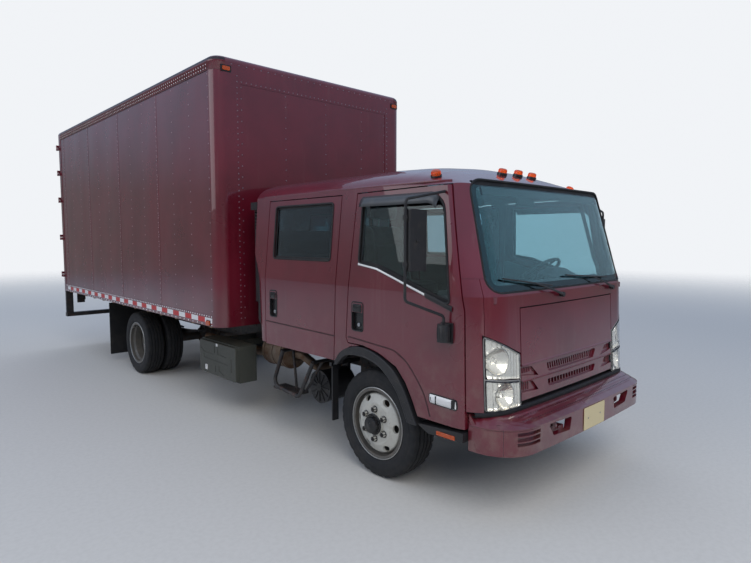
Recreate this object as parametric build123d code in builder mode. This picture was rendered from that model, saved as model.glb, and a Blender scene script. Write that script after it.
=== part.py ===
from build123d import *
from math import cos, radians, sin, sqrt
import os

# Crew-cab box truck with a riveted van body, standing on its wheels. Millimetres.
# The front faces -Y, the truck's left side is +X, the ground is Z = 0 and the origin
# is on the ground under the middle of the truck. A "station" is a distance behind
# the bumper's front face; at() turns it into Y.

LENGTH = 8413
WHEELBASE = 4470
FRONT_AXLE = 1220
REAR_AXLE = FRONT_AXLE + WHEELBASE
FRONT_TRACK = 1665
REAR_TRACK = 1650
DUAL_SPACING = 254

# Tyres 225/70R19.5 on 19.5 x 6 inch discs, six studs on a 222.25 mm circle
TYRE_RADIUS = 405.5
BEAD_RADIUS = 250
STUD_CIRCLE = 222.25
STUDS = 6
HAND_HOLE_RADIUS = 195

# Ladder frame
RAIL_OUTER = 425
RAIL_FLANGE = 65
RAIL_GAUGE = 7
RAIL_LOW = 630
RAIL_HIGH = 840
RAIL_FRONT = 290
RAIL_REAR = 8240

# Cab
CAB_HALF_WIDTH = 1030
CAB_WALL = 45
CAB_FRONT = 150
BELT_STATION = 190
BELT_HEIGHT = 1420
CAB_BACK = 2760
CAB_LOW = 600
CAB_FLOOR = 930
CANT_HEIGHT = 2130
CANT_LINE = 2090
ROOF_CROWN = 2340
WINDSCREEN_LEAN = 0.30
FRONT_LOW = 715
FOLD_LINE = 965
DRIP_RAIL = 2142
FRONT_CORNER = 270
BACK_CORNER = 130
GAP = 8
PLATE_BOLT_SPACING = 178
PLATE_BOLT_HOLE = 7
PLATE_BOLT_HEIGHT = 550
BUMPER_HALF_WIDTH = 990
BUMPER_BACK = 330
BUMPER_CORNER = 270

# Van body
BOX_HALF_WIDTH = 1220
BOX_FRONT = 3080
BOX_REAR = 8358
BOX_LOW = 924
BOX_TOP = 3465
BOX_WALL = 32
BOX_FLOOR = 1010
POST_PITCH = 406.4
FIRST_POST = 3203
CORNER_RADIUS = 120
ROOF_RAIL = 60
HINGE_HEIGHTS = (1150, 1750, 2350, 2780, 3180)
HINGE_PIN = 1244
HINGE_STATION = BOX_REAR + 45

WHEEL_HEIGHT = TYRE_RADIUS
KINGPIN = 700
SIDES = (("left", 1), ("right", -1))


def at(station):
    """Y of a station behind the bumper's front face."""
    return station - LENGTH / 2


def side_points(outline):
    """(station, height) pairs as points of a side-view sketch."""
    return [(at(station), height) for station, height in outline]


def side_cut(outline, low, high, mode=Mode.ADD, radius=0):
    """Extrude a side-view outline across the truck, from X = low to X = high."""
    with BuildSketch(Plane.YZ.offset(low)) as section:
        with BuildLine():
            Polyline(*side_points(outline), close=True)
        make_face()
        if radius:
            fillet(section.vertices(), radius)
    extrude(section.sketch, amount=high - low, mode=mode)


def front_cut(outline, first, last, mode=Mode.ADD, radius=0):
    """Extrude a front-view outline (X, Z) between two stations."""
    with BuildSketch(Plane.XZ.offset(-at(last))) as section:
        with BuildLine():
            Polyline(*outline, close=True)
        make_face()
        if radius:
            fillet(section.vertices(), radius)
    extrude(section.sketch, amount=last - first, mode=mode)


def block(x_range, stations, z_range, mode=Mode.ADD):
    """A rectangular block between two X, two stations and two heights."""
    middle = (sum(x_range) / 2, at(sum(stations) / 2), sum(z_range) / 2)
    with Locations(middle):
        Box(
            x_range[1] - x_range[0],
            stations[1] - stations[0],
            z_range[1] - z_range[0],
            mode=mode,
        )


def rod(start, end, radius, mode=Mode.ADD):
    """A round bar between two points (X, station, Z)."""
    tail = Vector(start[0], at(start[1]), start[2])
    head = Vector(end[0], at(end[1]), end[2])
    with BuildSketch(Plane(origin=tail, z_dir=head - tail)) as section:
        Circle(radius)
    extrude(section.sketch, amount=(head - tail).length, mode=mode)


def bent_tube(points, radius, bend, mode=Mode.ADD):
    """A round tube through points (X, station, Z), with rounded corners."""
    corners = [Vector(x, at(s), z) for x, s, z in points]
    with BuildLine() as path:
        FilletPolyline(*corners, radius=bend)
    with BuildSketch(Plane(origin=corners[0], z_dir=corners[1] - corners[0])) as section:
        Circle(radius)
    sweep(section.sketch, path=path.line, mode=mode)


def save(piece, name):
    """Label a finished piece and write it."""
    piece.part.label = name
    export_step(piece.part, f"parts/{name}.step")


os.makedirs("parts", exist_ok=True)


# Frame and running gear

def make_frame():
    """Ladder frame: two channel rails, bumper horns and channel cross-members."""
    crossmembers = (380, 2330, 2900, 3900, 4830, 6560, 7450, 8180)
    web = RAIL_OUTER - RAIL_GAUGE
    with BuildPart() as frame:
        block((RAIL_OUTER - RAIL_FLANGE, RAIL_OUTER), (RAIL_FRONT, RAIL_REAR), (RAIL_LOW, RAIL_HIGH))
        block(
            (RAIL_OUTER - RAIL_FLANGE, web),
            (RAIL_FRONT, RAIL_REAR),
            (RAIL_LOW + RAIL_GAUGE, RAIL_HIGH - RAIL_GAUGE),
            Mode.SUBTRACT,
        )
        block((RAIL_OUTER - 70, RAIL_OUTER), (RAIL_FRONT, RAIL_FRONT + 130), (440, RAIL_LOW + 2))
        mirror(about=Plane.YZ)
        for station in crossmembers:
            block((-web, web), (station, station + 60), (690, 780))
            block((30 - web, web - 30), (station + 6, station + 60), (696, 774), Mode.SUBTRACT)
    save(frame, "frame")


def leaf_pack(x, front, rear, seat, arch, lengths, thickness):
    """One leaf spring: leaves of falling length, curved to one arch, stacked downwards."""
    middle = (front + rear) / 2
    half = (rear - front) / 2
    radius = (half * half + arch * arch) / (2 * arch)
    for count, share in enumerate(lengths):
        reach = half * share
        top = seat - count * thickness
        low = top - thickness
        rise = radius - sqrt(radius * radius - reach * reach)
        with BuildSketch(Plane.YZ.offset(x - 35)) as leaf:
            with BuildLine():
                ThreePointArc(
                    (at(middle - reach), top + rise),
                    (at(middle), top),
                    (at(middle + reach), top + rise),
                )
                Line((at(middle + reach), top + rise), (at(middle + reach), low + rise))
                ThreePointArc(
                    (at(middle + reach), low + rise),
                    (at(middle), low),
                    (at(middle - reach), low + rise),
                )
                Line((at(middle - reach), low + rise), (at(middle - reach), top + rise))
            make_face()
        extrude(leaf.sketch, amount=70)


def make_springs():
    """Four leaf springs with their eyes, hangers, shackles and clamp plates."""
    springs = (
        # middle X, front eye, rear eye, seat height, arch, clamp low, clamp high
        (400, 600, 1840, 490, 90, 425, 505),
        (492, 4990, 6390, 545, 60, 460, 570),
    )
    with BuildPart() as pack:
        for x, front, rear, seat, arch, low, high in springs:
            leaf_pack(x, front, rear, seat, arch, (1, 0.92, 0.72, 0.5, 0.3), 11)
            middle = (front + rear) / 2
            for station in (front, rear):
                rod((x - 35, station, seat + arch - 5), (x + 35, station, seat + arch - 5), 24)
                hanger = x + 35 if x < RAIL_OUTER else x - 45
                block((hanger, hanger + 10), (station - 35, station + 35), (seat + arch - 35, 650))
            for offset in (-62, 62):
                for edge in (-41, 41):
                    rod(
                        (x + edge, middle + offset, low),
                        (x + edge, middle + offset, high),
                        7,
                    )
            block((x - 50, x + 50), (middle - 80, middle + 80), (high - 14, high))
        mirror(about=Plane.YZ)
    save(pack, "leaf_springs")


def make_front_axle():
    """Forged I-beam with a dropped middle and a boss and kingpin at each end."""
    half_depth = 42
    outline = [
        (0, 290), (430, 290), (560, 360), (KINGPIN, 360), (KINGPIN, 440), (540, 440),
        (430, 380), (0, 380),
    ]
    flank = [
        (0, 308), (424, 308), (556, 378), (650, 378), (650, 422), (544, 422), (434, 362),
        (0, 362),
    ]
    with BuildPart() as axle:
        front_cut(outline, FRONT_AXLE - half_depth, FRONT_AXLE + half_depth)
        for face in (FRONT_AXLE - half_depth, FRONT_AXLE + half_depth - 20):
            front_cut(flank, face, face + 20, Mode.SUBTRACT)
        rod((KINGPIN, FRONT_AXLE, 345), (KINGPIN, FRONT_AXLE, 455), 42)
        rod((KINGPIN, FRONT_AXLE, 300), (KINGPIN, FRONT_AXLE, 500), 20)
        block((350, 450), (FRONT_AXLE - 80, FRONT_AXLE + 80), (372, 425))
        mirror(about=Plane.YZ)
    save(axle, "front_axle")


def make_rear_axle():
    """Banjo housing with tubes, brake backing plates and wheel spindles."""
    with BuildPart() as axle:
        rod((-560, REAR_AXLE, WHEEL_HEIGHT), (560, REAR_AXLE, WHEEL_HEIGHT), 58)
        for side in (-1, 1):
            rod((side * 548, REAR_AXLE, WHEEL_HEIGHT), (side * 575, REAR_AXLE, WHEEL_HEIGHT), 160)
            rod((side * 560, REAR_AXLE, WHEEL_HEIGHT), (side * 905, REAR_AXLE, WHEEL_HEIGHT), 40)
            block(
                sorted((side * 461, side * 523)),
                (REAR_AXLE - 75, REAR_AXLE + 75),
                (WHEEL_HEIGHT, 489),
            )
        with BuildSketch(
            Plane(origin=(0, at(REAR_AXLE), WHEEL_HEIGHT), x_dir=(1, 0, 0), z_dir=(0, -1, 0))
        ) as bowl:
            with BuildLine():
                Polyline((-200, 0), (-200, 58), (-95, 185), (95, 185), (200, 58), (200, 0), close=True)
            make_face()
        revolve(bowl.sketch, axis=Axis((0, at(REAR_AXLE), WHEEL_HEIGHT), (1, 0, 0)))
        rod((0, REAR_AXLE - 330, 440), (0, REAR_AXLE - 60, 420), 85)
    save(axle, "rear_axle")


def make_driveshaft():
    """Two-piece shaft with its joints and centre bearing."""
    start = (0, 2300, 600)
    middle = (0, 3930, 560)
    end = (0, REAR_AXLE - 394, 445)
    with BuildPart() as shaft:
        rod(start, middle, 45)
        rod(middle, end, 45)
        for joint in (start, middle, end):
            with Locations((joint[0], at(joint[1]), joint[2])):
                Sphere(62 if joint is not end else 60)
        block((-110, 110), (3910, 3950), (550, 690))
    save(shaft, "driveshaft")


def make_engine():
    """Engine and gearbox, closed in under the cab: plain blocks at their real place."""
    with BuildPart() as engine:
        block((-270, 270), (700, 1560), (520, 1120))
        block((-180, 180), (1560, 2238), (470, 800))
        rod((-0.5, 2230, 600), (-0.5, 2236, 600), 100)
    save(engine, "engine")


def make_exhaust():
    """Filter canister on the curb side with domed ends, clamp bands and its pipes."""
    x, z = -640, 668
    front, rear, radius = 2640, 3080, 150
    with BuildPart() as exhaust:
        with BuildSketch(Plane(origin=(x, at(0), z), x_dir=(0, 1, 0), z_dir=(1, 0, 0))) as section:
            with BuildLine():
                Polyline(
                    (front, 0), (front, 70), (front + 45, radius), (rear - 45, radius),
                    (rear, 70), (rear, 0), close=True,
                )
            make_face()
        revolve(section.sketch, axis=Axis((x, at(0), z), (0, 1, 0)))
        for station in (front + 70, 2850, rear - 90):
            rod((x, station, z), (x, station + 20, z), radius + 6)
        bent_tube([(x, 3070, z), (x, 3180, z), (-540, 3360, 560), (-540, 4700, 560)], 45, 60)
        bent_tube([(x, 2650, z), (x, 2540, z), (-560, 2440, 565), (-230, 2400, 565)], 42, 50)
    save(exhaust, "exhaust")


def make_fuel_tank():
    """Rectangular tank outside the left rail, on two straps."""
    with BuildPart() as tank:
        block((470, 960), (2950, 3850), (330, 760))
        fillet(tank.edges().filter_by(Axis.Y), 60)
        for station in (3120, 3640):
            block((462, 966), (station, station + 40), (324, 766))
            block((RAIL_OUTER, 470), (station, station + 40), (500, 760))
        with Locations((960, at(3050), 640)):
            Cylinder(45, 50, rotation=(0, 90, 0))
    save(tank, "fuel_tank")


def make_battery_box():
    """Battery box beside the curb-side rail, under a moulded cover with pressed lines."""
    front, rear, low, high = 3100, 3865, 364, 705
    pressed_lines = (
        # each line as (share of the width from the rear, share of the height from the top)
        ((0.02, 0.22), (0.14, 0.35), (0.39, 0.35)),
        ((0.44, 0.10), (0.44, 0.32)),
        ((0.53, 0.16), (0.53, 0.32), (0.77, 0.34)),
        ((0.13, 0.43), (0.13, 0.53), (0.80, 0.55)),
        ((0.46, 0.69), (0.46, 0.88)),
        ((0.56, 0.66), (0.56, 0.81), (0.69, 0.91)),
        ((0.89, 0.36), (0.89, 0.75)),
    )
    with BuildPart() as box:
        block((-1050, -1010), (front, rear), (low, high))
        fillet(box.edges().filter_by(Axis.X), 25)
        fillet(box.faces().sort_by(Axis.X)[0].edges(), 8)
        block((-1010, -820), (front - 10, rear + 10), (low - 10, high + 10))
        for line in pressed_lines:
            points = [
                (at(rear - across * (rear - front)), high - down * (high - low))
                for across, down in line
            ]
            with BuildSketch(Plane.YZ.offset(-1046)) as groove:
                with BuildLine():
                    Polyline(*points)
                trace(line_width=9)
            extrude(groove.sketch, amount=-10, mode=Mode.SUBTRACT)
        for station in (3460, 3760):
            block((-820, -RAIL_OUTER), (station, station + 40), (640, 700))
    save(box, "battery_box")


def make_air_intake():
    """Intake: capped upright duct behind the cab, and air cleaner with a ribbed cover."""
    x = -890
    cleaner = (-450, 2145, 465)
    cover = (-750, 2145, 465)
    with BuildPart() as intake:
        block((-940, -840), (2810, 2890), (1180, 2040))
        fillet(intake.edges().filter_by(Axis.Z), 15)
        block((-965, -815), (2795, 2905), (2040, 2110))
        for height in range(1860, 2020, 30):
            block((-941, -920), (2830, 2870), (height, height + 12), Mode.SUBTRACT)
        bent_tube([(x, 2850, 1190), (x, 2850, 980), (-600, 2850, 900)], 38, 60)
        block((-840, -600), (2820, 2880), (860, 930))
        bent_tube([(-560, 2145, 560), (-560, 2145, 700), (-RAIL_OUTER, 2145, 700)], 40, 60)
        rod(cleaner, (-720, 2145, 465), 140)
        rod((-720, 2145, 465), cover, 147)
        with Locations(Plane(origin=(-750, at(2145), 465), z_dir=(-1, 0, 0))):
            with PolarLocations(0, 12):
                with Locations((82, 0, 0)):
                    Box(100, 8, 16)
        rod((-745, 2145, 465), (-760, 2145, 465), 34)
        block((-455, -RAIL_OUTER), (2105, 2185), (480, 640))
    save(intake, "air_intake")


def make_step_frames():
    """Tubular step under each rear door with a perforated tread, hung from the rail."""
    with BuildPart() as steps:
        bent_tube(
            [(980, 2374, 792), (980, 2536, 454), (980, 2139, 418), (980, 1934, 749)], 17, 60
        )
        rod((980, 2380, 785), (RAIL_OUTER + 1, 2380, 785), 15)
        rod((980, 1940, 750), (RAIL_OUTER + 1, 1940, 750), 15)
        block((860, 990), (2160, 2520), (425, 445))
        with Locations((918, at(2340), 445)):
            with GridLocations(28, 34, 3, 9):
                Box(18, 24, 60, mode=Mode.SUBTRACT)
        rod((868, 2330, 435), (868, 2378, 785), 12)
        rod((868, 2190, 435), (868, 1942, 750), 12)
        mirror(about=Plane.YZ)
    save(steps, "step_frames")


def tyre_outline(x):
    """Section of a hollow tyre about the wheel's axis, as (X, radius) points."""
    side = (
        (62, BEAD_RADIUS + 0.4), (86.5, BEAD_RADIUS + 0.4), (86.5, 269), (104, 282),
        (113, 322), (110, TYRE_RADIUS - 46), (96, TYRE_RADIUS - 12), (78, TYRE_RADIUS),
    )
    inside = ((76, TYRE_RADIUS - 30), (92, 322), (84, 290), (62, 272))
    left = [(x - a, r) for a, r in side]
    right = [(x + a, r) for a, r in reversed(side)]
    back = [(x + a, r) for a, r in reversed(inside)]
    front = [(x - a, r) for a, r in inside]
    return left + right + back + front


def spin_plane(station):
    """Plane through a wheel's axis: local x along X, local y up from the axis."""
    return Plane(origin=(0, at(station), WHEEL_HEIGHT), x_dir=(1, 0, 0), z_dir=(0, -1, 0))


def spin_axis(station):
    """A wheel's axis."""
    return Axis((0, at(station), WHEEL_HEIGHT), (1, 0, 0))


def add_tyre(x, station):
    """A hollow tyre whose middle plane is at X = x."""
    with BuildSketch(spin_plane(station)) as section:
        with BuildLine():
            Polyline(*tyre_outline(x), close=True)
        make_face()
    revolve(section.sketch, axis=spin_axis(station))


def add_disc_wheel(x, station, dish):
    """A steel disc wheel. dish is how far its disc stands from the rim's middle."""
    reach = abs(dish)
    out = dish / reach
    rim = (
        (-96, 268), (-96, 242), (-62, 242), (-38, 228), (38, 228), (62, 242), (96, 242),
        (96, 268), (87, 268), (87, 250), (60, 250), (36, 236), (-36, 236), (-60, 250),
        (-87, 250), (-87, 268),
    )
    disc = (
        (reach - 62, 230), (reach - 30, 205), (reach - 10, 165), (reach, 150),
        (reach, 82), (reach + 12, 82), (reach + 12, 156), (reach + 2, 174),
        (reach - 18, 214), (reach - 48, 238), (reach - 62, 240),
    )
    for outline in (rim, disc):
        with BuildSketch(spin_plane(station)) as section:
            with BuildLine():
                Polyline(*[(x + out * a, r) for a, r in outline], close=True)
            make_face()
        revolve(section.sketch, axis=spin_axis(station))


def add_hand_holes(x, station):
    """Oval openings through a wheel's disc, one between each pair of studs."""
    for count in range(STUDS):
        angle = 360 / STUDS * (count + 0.5)
        spot = Plane(
            origin=(x, at(station), WHEEL_HEIGHT), x_dir=(0, 1, 0), z_dir=(1, 0, 0)
        ).rotated((angle, 0, 0))
        with BuildSketch(spot) as hole:
            with Locations((0, HAND_HOLE_RADIUS)):
                Ellipse(32, 21)
        extrude(hole.sketch, amount=90, both=True, mode=Mode.SUBTRACT)


def wheel_rod(start, end, station, radius, mode=Mode.ADD):
    """A round bar along a wheel's axis between two X."""
    rod((start, station, WHEEL_HEIGHT), (end, station, WHEEL_HEIGHT), radius, mode)


def make_front_wheels():
    """Front tyres and wheels: the disc stands outboard, with the hub and nuts on it."""
    for hand, side in SIDES:
        x = side * FRONT_TRACK / 2
        face = x + side * 112
        with BuildPart() as tyre:
            add_tyre(x, FRONT_AXLE)
        save(tyre, f"{hand}_front_tyre")
        with BuildPart() as wheel:
            add_disc_wheel(x, FRONT_AXLE, side * 100)
            add_hand_holes(x + side * 60, FRONT_AXLE)
            wheel_rod(x - side * 10, face + side * 14, FRONT_AXLE, 84)
            wheel_rod(face, face + side * 45, FRONT_AXLE, 62)
            wheel_rod(x - side * 20, face + side * 10, FRONT_AXLE, 33, Mode.SUBTRACT)
            add_nuts(face, side, FRONT_AXLE)
        save(wheel, f"{hand}_front_wheel")


def add_nuts(face, side, station):
    """Six wheel nuts on the disc's outer face."""
    for count in range(STUDS):
        angle = radians(360 / STUDS * count)
        y = station + STUD_CIRCLE / 2 * sin(angle)
        z = WHEEL_HEIGHT + STUD_CIRCLE / 2 * cos(angle)
        rod((face - side * 1, y, z), (face + side * 26, y, z), 19)


def make_rear_wheels():
    """Rear twin tyres and wheels, bolted back to back on one hub."""
    for hand, side in SIDES:
        middle = side * REAR_TRACK / 2
        outer = middle + side * DUAL_SPACING / 2
        inner = middle - side * DUAL_SPACING / 2
        with BuildPart() as tyres:
            add_tyre(outer, REAR_AXLE)
            add_tyre(inner, REAR_AXLE)
        save(tyres, f"{hand}_rear_tyres")
        dish = DUAL_SPACING / 2 - 12
        with BuildPart() as wheels:
            add_disc_wheel(outer, REAR_AXLE, -side * dish)
            add_disc_wheel(inner, REAR_AXLE, side * dish)
            add_hand_holes(outer - side * 80, REAR_AXLE)
            add_hand_holes(inner + side * 80, REAR_AXLE)
            wheel_rod(middle - side * 80, middle + side * 70, REAR_AXLE, 84)
            wheel_rod(middle + side * 60, middle + side * 110, REAR_AXLE, 62)
            wheel_rod(middle - side * 90, middle + side * 90, REAR_AXLE, 43, Mode.SUBTRACT)
            add_nuts(middle + side * 12, side, REAR_AXLE)
        save(wheels, f"{hand}_rear_wheels")


def make_knuckles():
    """Steering knuckles: a fork on the kingpin, a spindle and a steering arm."""
    for hand, side in SIDES:
        with BuildPart() as knuckle:
            for low in (306, 466):
                rod((side * KINGPIN, FRONT_AXLE, low), (side * KINGPIN, FRONT_AXLE, low + 30), 40)
                block(
                    sorted((side * KINGPIN, side * (KINGPIN + 62))),
                    (FRONT_AXLE - 38, FRONT_AXLE + 38),
                    (low, low + 30),
                )
            block(
                sorted((side * (KINGPIN + 48), side * (KINGPIN + 66))),
                (FRONT_AXLE - 60, FRONT_AXLE + 60),
                (306, 496),
            )
            rod(
                (side * (KINGPIN + 60), FRONT_AXLE, WHEEL_HEIGHT),
                (side * 925, FRONT_AXLE, WHEEL_HEIGHT), 32,
            )
            rod(
                (side * (KINGPIN + 60), FRONT_AXLE, WHEEL_HEIGHT),
                (side * (KINGPIN + 72), FRONT_AXLE, WHEEL_HEIGHT), 165,
            )
            block(
                sorted((side * (KINGPIN - 22), side * (KINGPIN + 22))),
                (FRONT_AXLE + 30, FRONT_AXLE + 180),
                (308, 330),
            )
            rod(
                (side * KINGPIN, FRONT_AXLE + 180, 308),
                (side * KINGPIN, FRONT_AXLE + 180, 330), 24,
            )
            rod(
                (side * KINGPIN, FRONT_AXLE + 180, 296),
                (side * KINGPIN, FRONT_AXLE + 180, 345), 9,
            )
            rod(
                (side * KINGPIN, FRONT_AXLE, 290),
                (side * KINGPIN, FRONT_AXLE, 510), 20.6, Mode.SUBTRACT,
            )
        save(knuckle, f"{hand}_knuckle")


def make_tie_rod():
    """Tie rod between the two steering arms, its eyes under the arms' pins."""
    with BuildPart() as link:
        rod((-KINGPIN + 20, FRONT_AXLE + 180, 284), (KINGPIN - 20, FRONT_AXLE + 180, 284), 16)
        for side in (-1, 1):
            rod((side * KINGPIN, FRONT_AXLE + 180, 266), (side * KINGPIN, FRONT_AXLE + 180, 302), 26)
        for side in (-1, 1):
            rod(
                (side * KINGPIN, FRONT_AXLE + 180, 260), (side * KINGPIN, FRONT_AXLE + 180, 303), 12,
                Mode.SUBTRACT,
            )
    save(link, "tie_rod")


# Cab

def cab_plan(inset):
    """Plan of the cab: bowed front, large front corners, small rear corners."""
    half = CAB_HALF_WIDTH - inset
    with BuildLine() as border:
        ThreePointArc(
            (-half, at(BELT_STATION + 30 + inset)),
            (0, at(BELT_STATION + inset)),
            (half, at(BELT_STATION + 30 + inset)),
        )
        Polyline(
            (half, at(BELT_STATION + 30 + inset)),
            (half, at(CAB_BACK - inset)),
            (-half, at(CAB_BACK - inset)),
            (-half, at(BELT_STATION + 30 + inset)),
        )
    make_face(border.edges())


def cab_form(inset, low):
    """The cab's outer form, or its cavity when inset is the wall's thickness."""
    lean_low = (BELT_STATION - CAB_FRONT) / (BELT_HEIGHT - CAB_LOW)
    half = CAB_HALF_WIDTH - inset
    with BuildPart() as form:
        for lean, height in ((lean_low, low - BELT_HEIGHT), (WINDSCREEN_LEAN, 1000)):
            with BuildSketch(Plane.XY.offset(BELT_HEIGHT)) as plan:
                cab_plan(inset)
                front = plan.vertices().group_by(Axis.Y)[0]
                fillet(front, FRONT_CORNER - inset)
                back = plan.vertices().group_by(Axis.Y)[-1]
                fillet(back, BACK_CORNER - inset)
            rise = 1 if height > 0 else -1
            extrude(plan.sketch, amount=abs(height), dir=(0, rise * lean, rise))
        with BuildSketch(Plane.YZ.offset(-1100)) as profile:
            with BuildLine():
                Polyline(
                    (at(-300), low), (at(-300), ROOF_CROWN - inset),
                    (at(CAB_BACK - inset), ROOF_CROWN - inset), (at(CAB_BACK - inset), low),
                    close=True,
                )
            make_face()
            corner = profile.vertices().sort_by_distance(
                (-1100, at(CAB_BACK - inset), ROOF_CROWN - inset)
            )[0]
            fillet(corner, 140 - inset)
        extrude(profile.sketch, amount=2200, mode=Mode.INTERSECT)
        with BuildSketch(Plane.XZ.offset(-at(3200))) as section:
            with BuildLine():
                Polyline(
                    (-half, low), (half, low), (half, BELT_HEIGHT), (half - 75, 2425),
                    (-half + 75, 2425), (-half, BELT_HEIGHT), close=True,
                )
            make_face()
        extrude(section.sketch, amount=3200, mode=Mode.INTERSECT)
        add(roof_form(inset, low), mode=Mode.INTERSECT)
    return form.part


def roof_form(inset, low):
    """Everything under the roof: one smooth surface through cross sections of the roof."""
    half = CAB_HALF_WIDTH - inset
    base = CANT_LINE - inset
    section = [(half - 46, 0)] + [(x * half, share) for x, share in SHOULDER] + [(0, 1)]
    section += [(-x, share) for x, share in reversed(section[:-1])]
    with BuildPart() as under:
        for station, crown in ROOF_LINE:
            rise = crown - CANT_LINE
            with BuildSketch(Plane.XZ.offset(-at(station))):
                with BuildLine():
                    Polyline(
                        (-half + 46, base), (-half - 60, base), (-half - 60, low - 10),
                        (half + 60, low - 10), (half + 60, base), (half - 46, base),
                    )
                    Spline(
                        *[(x, base + share * rise) for x, share in section],
                    )
                make_face()
        loft(ruled=True)
        block((-half - 60, half + 60), (-300, ROOF_LINE[0][0] + 1), (low - 10, base))
    return under.part


def cab_skin(outside, inside):
    """The layer of the cab between two insets."""
    with BuildPart() as skin:
        add(cab_form(outside, CAB_LOW))
        add(cab_form(inside, CAB_LOW - 20), mode=Mode.SUBTRACT)
    return skin.part


# Roof's middle line: station and height
ROOF_LINE = (
    (380, 2106), (430, 2140), (490, 2175), (560, 2208), (650, 2244), (760, 2280), (900, 2309),
    (1080, 2331), (1300, 2340), (2900, 2340),
)
# Roof's cross section: share of the half width, share of the rise above the cant line
SHOULDER = ((0.950, 0.17), (0.925, 0.33), (0.885, 0.47), (0.800, 0.62), (0.500, 0.86))
FRONT_DOOR = (
    (340, 596), (362, 1329), (505, 2112), (1366, 2100), (1445, 1036), (1425, 1000),
    (1261, 1000), (1095, 968), (920, 900), (830, 806), (770, 705), (716, 596),
)
REAR_DOOR = ((1600, 836), (1551, 2096), (2540, 2096), (2565, 1400), (2565, 836))
FRONT_WINDOW = ((1308, 2050), (1321, 1597), (1120, 1570), (450, 1357), (545, 2055))
REAR_WINDOW = ((1650, 1600), (1640, 2050), (2440, 2050), (2450, 1600))
FRONT_SWAGE = (
    (1430, 1042), (1369, 1040), (1099, 1022), (939, 1007), (825, 949), (734, 857), (662, 758),
    (609, 624),
)
REAR_SWAGE = ((1590, 1026), (2575, 1040))
FLARE_OUTER = (
    (1572, 807), (1508, 902), (1402, 958), (1261, 983), (1095, 953), (944, 880), (849, 784),
    (790, 689), (741, 593), (713, 547),
)
FLARE_INNER = (
    (790, 547), (871, 707), (948, 796), (1068, 881), (1218, 921), (1370, 920), (1460, 893),
    (1547, 815),
)
WINDSCREEN = ((-912, 1440), (912, 1440), (868, 2150), (-868, 2150))
WINDSCREEN_CORNER = 105
BACK_WINDOW = ((-420, 1560), (420, 1560), (420, 2010), (-420, 2010))
HOOD = ((-645, 745), (645, 745), (645, 1335), (-645, 1335))
DOOR_SPAN = {"left": (880, 1100), "right": (-1100, -880)}


def widened(outline, margin):
    """An outline's points moved outwards by about a margin."""
    with BuildSketch(Plane.YZ) as shape:
        with BuildLine():
            Polyline(*side_points(outline), close=True)
        make_face()
        offset(amount=margin, kind=Kind.INTERSECTION)
    return shape.sketch


def widened_cut(outline, margin, low, high, mode):
    """Extrude a widened side-view outline from X = low to X = high."""
    shape = widened(outline, margin).moved(Location((low, 0, 0)))
    extrude(shape, amount=high - low, mode=mode)


def side_groove(points, width, layer, span):
    """A groove along a side-view line, as deep as the given outer layer of the cab."""
    with BuildPart() as groove:
        with BuildSketch(Plane.YZ.offset(span[0])) as line:
            with BuildLine():
                Polyline(*side_points(points))
            trace(line_width=width)
        extrude(line.sketch, amount=span[1] - span[0])
        add(layer, mode=Mode.INTERSECT)
    return groove.part


def cab_seams(layer):
    """Seams of the corner panels between the windscreen, the lamps and the doors."""
    with BuildPart() as seams:
        for side in (-1, 1):
            block(sorted((side * 880, side * 1100)), (100, 400), (1529, 1533))
            block(sorted((side * 933, side * 937)), (100, 400), (1186, 1529))
        add(layer, mode=Mode.INTERSECT)
    return seams.part


def grille_slots(count, pitch, size, height, lean):
    """A row of upright slots through the grille, leaning outwards on each side."""
    with BuildSketch(Plane.XZ.offset(-at(400))) as slots:
        for side in (-1, 1):
            for number in range(count):
                with Locations((side * pitch * (number + 0.5), height)):
                    Rectangle(*size, rotation=-side * lean)
    extrude(slots.sketch, amount=500, mode=Mode.SUBTRACT)


def fold_step(layer):
    """The thin layer taken off the hood below its fold line."""
    with BuildPart() as step:
        front_cut(((-700, 700), (700, 700), (700, FOLD_LINE), (-700, FOLD_LINE)), -100, 300)
        add(layer, mode=Mode.INTERSECT)
    return step.part


def grille_recesses(layer):
    """Side pockets and the two long grille openings, as deep as the given layer."""
    pockets = (
        # top outer, top inner, bottom inner, bottom outer corners of each side pocket
        ((645, 960), (526, 950), (449, 881), (645, 907)),
        ((645, 872), (517, 855), (452, 787), (645, 797)),
    )
    openings = (
        ((-320, 886), (320, 886), (369, 950), (-369, 950)),
        ((-322, 785), (322, 785), (360, 835), (-360, 835)),
    )
    with BuildPart() as recesses:
        for side in (-1, 1):
            for corners in pockets:
                front_cut([(side * x, z) for x, z in corners], -100, 300)
        for corners in openings:
            front_cut(corners, -100, 300, radius=12)
        add(layer, mode=Mode.INTERSECT)
    return recesses.part


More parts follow.
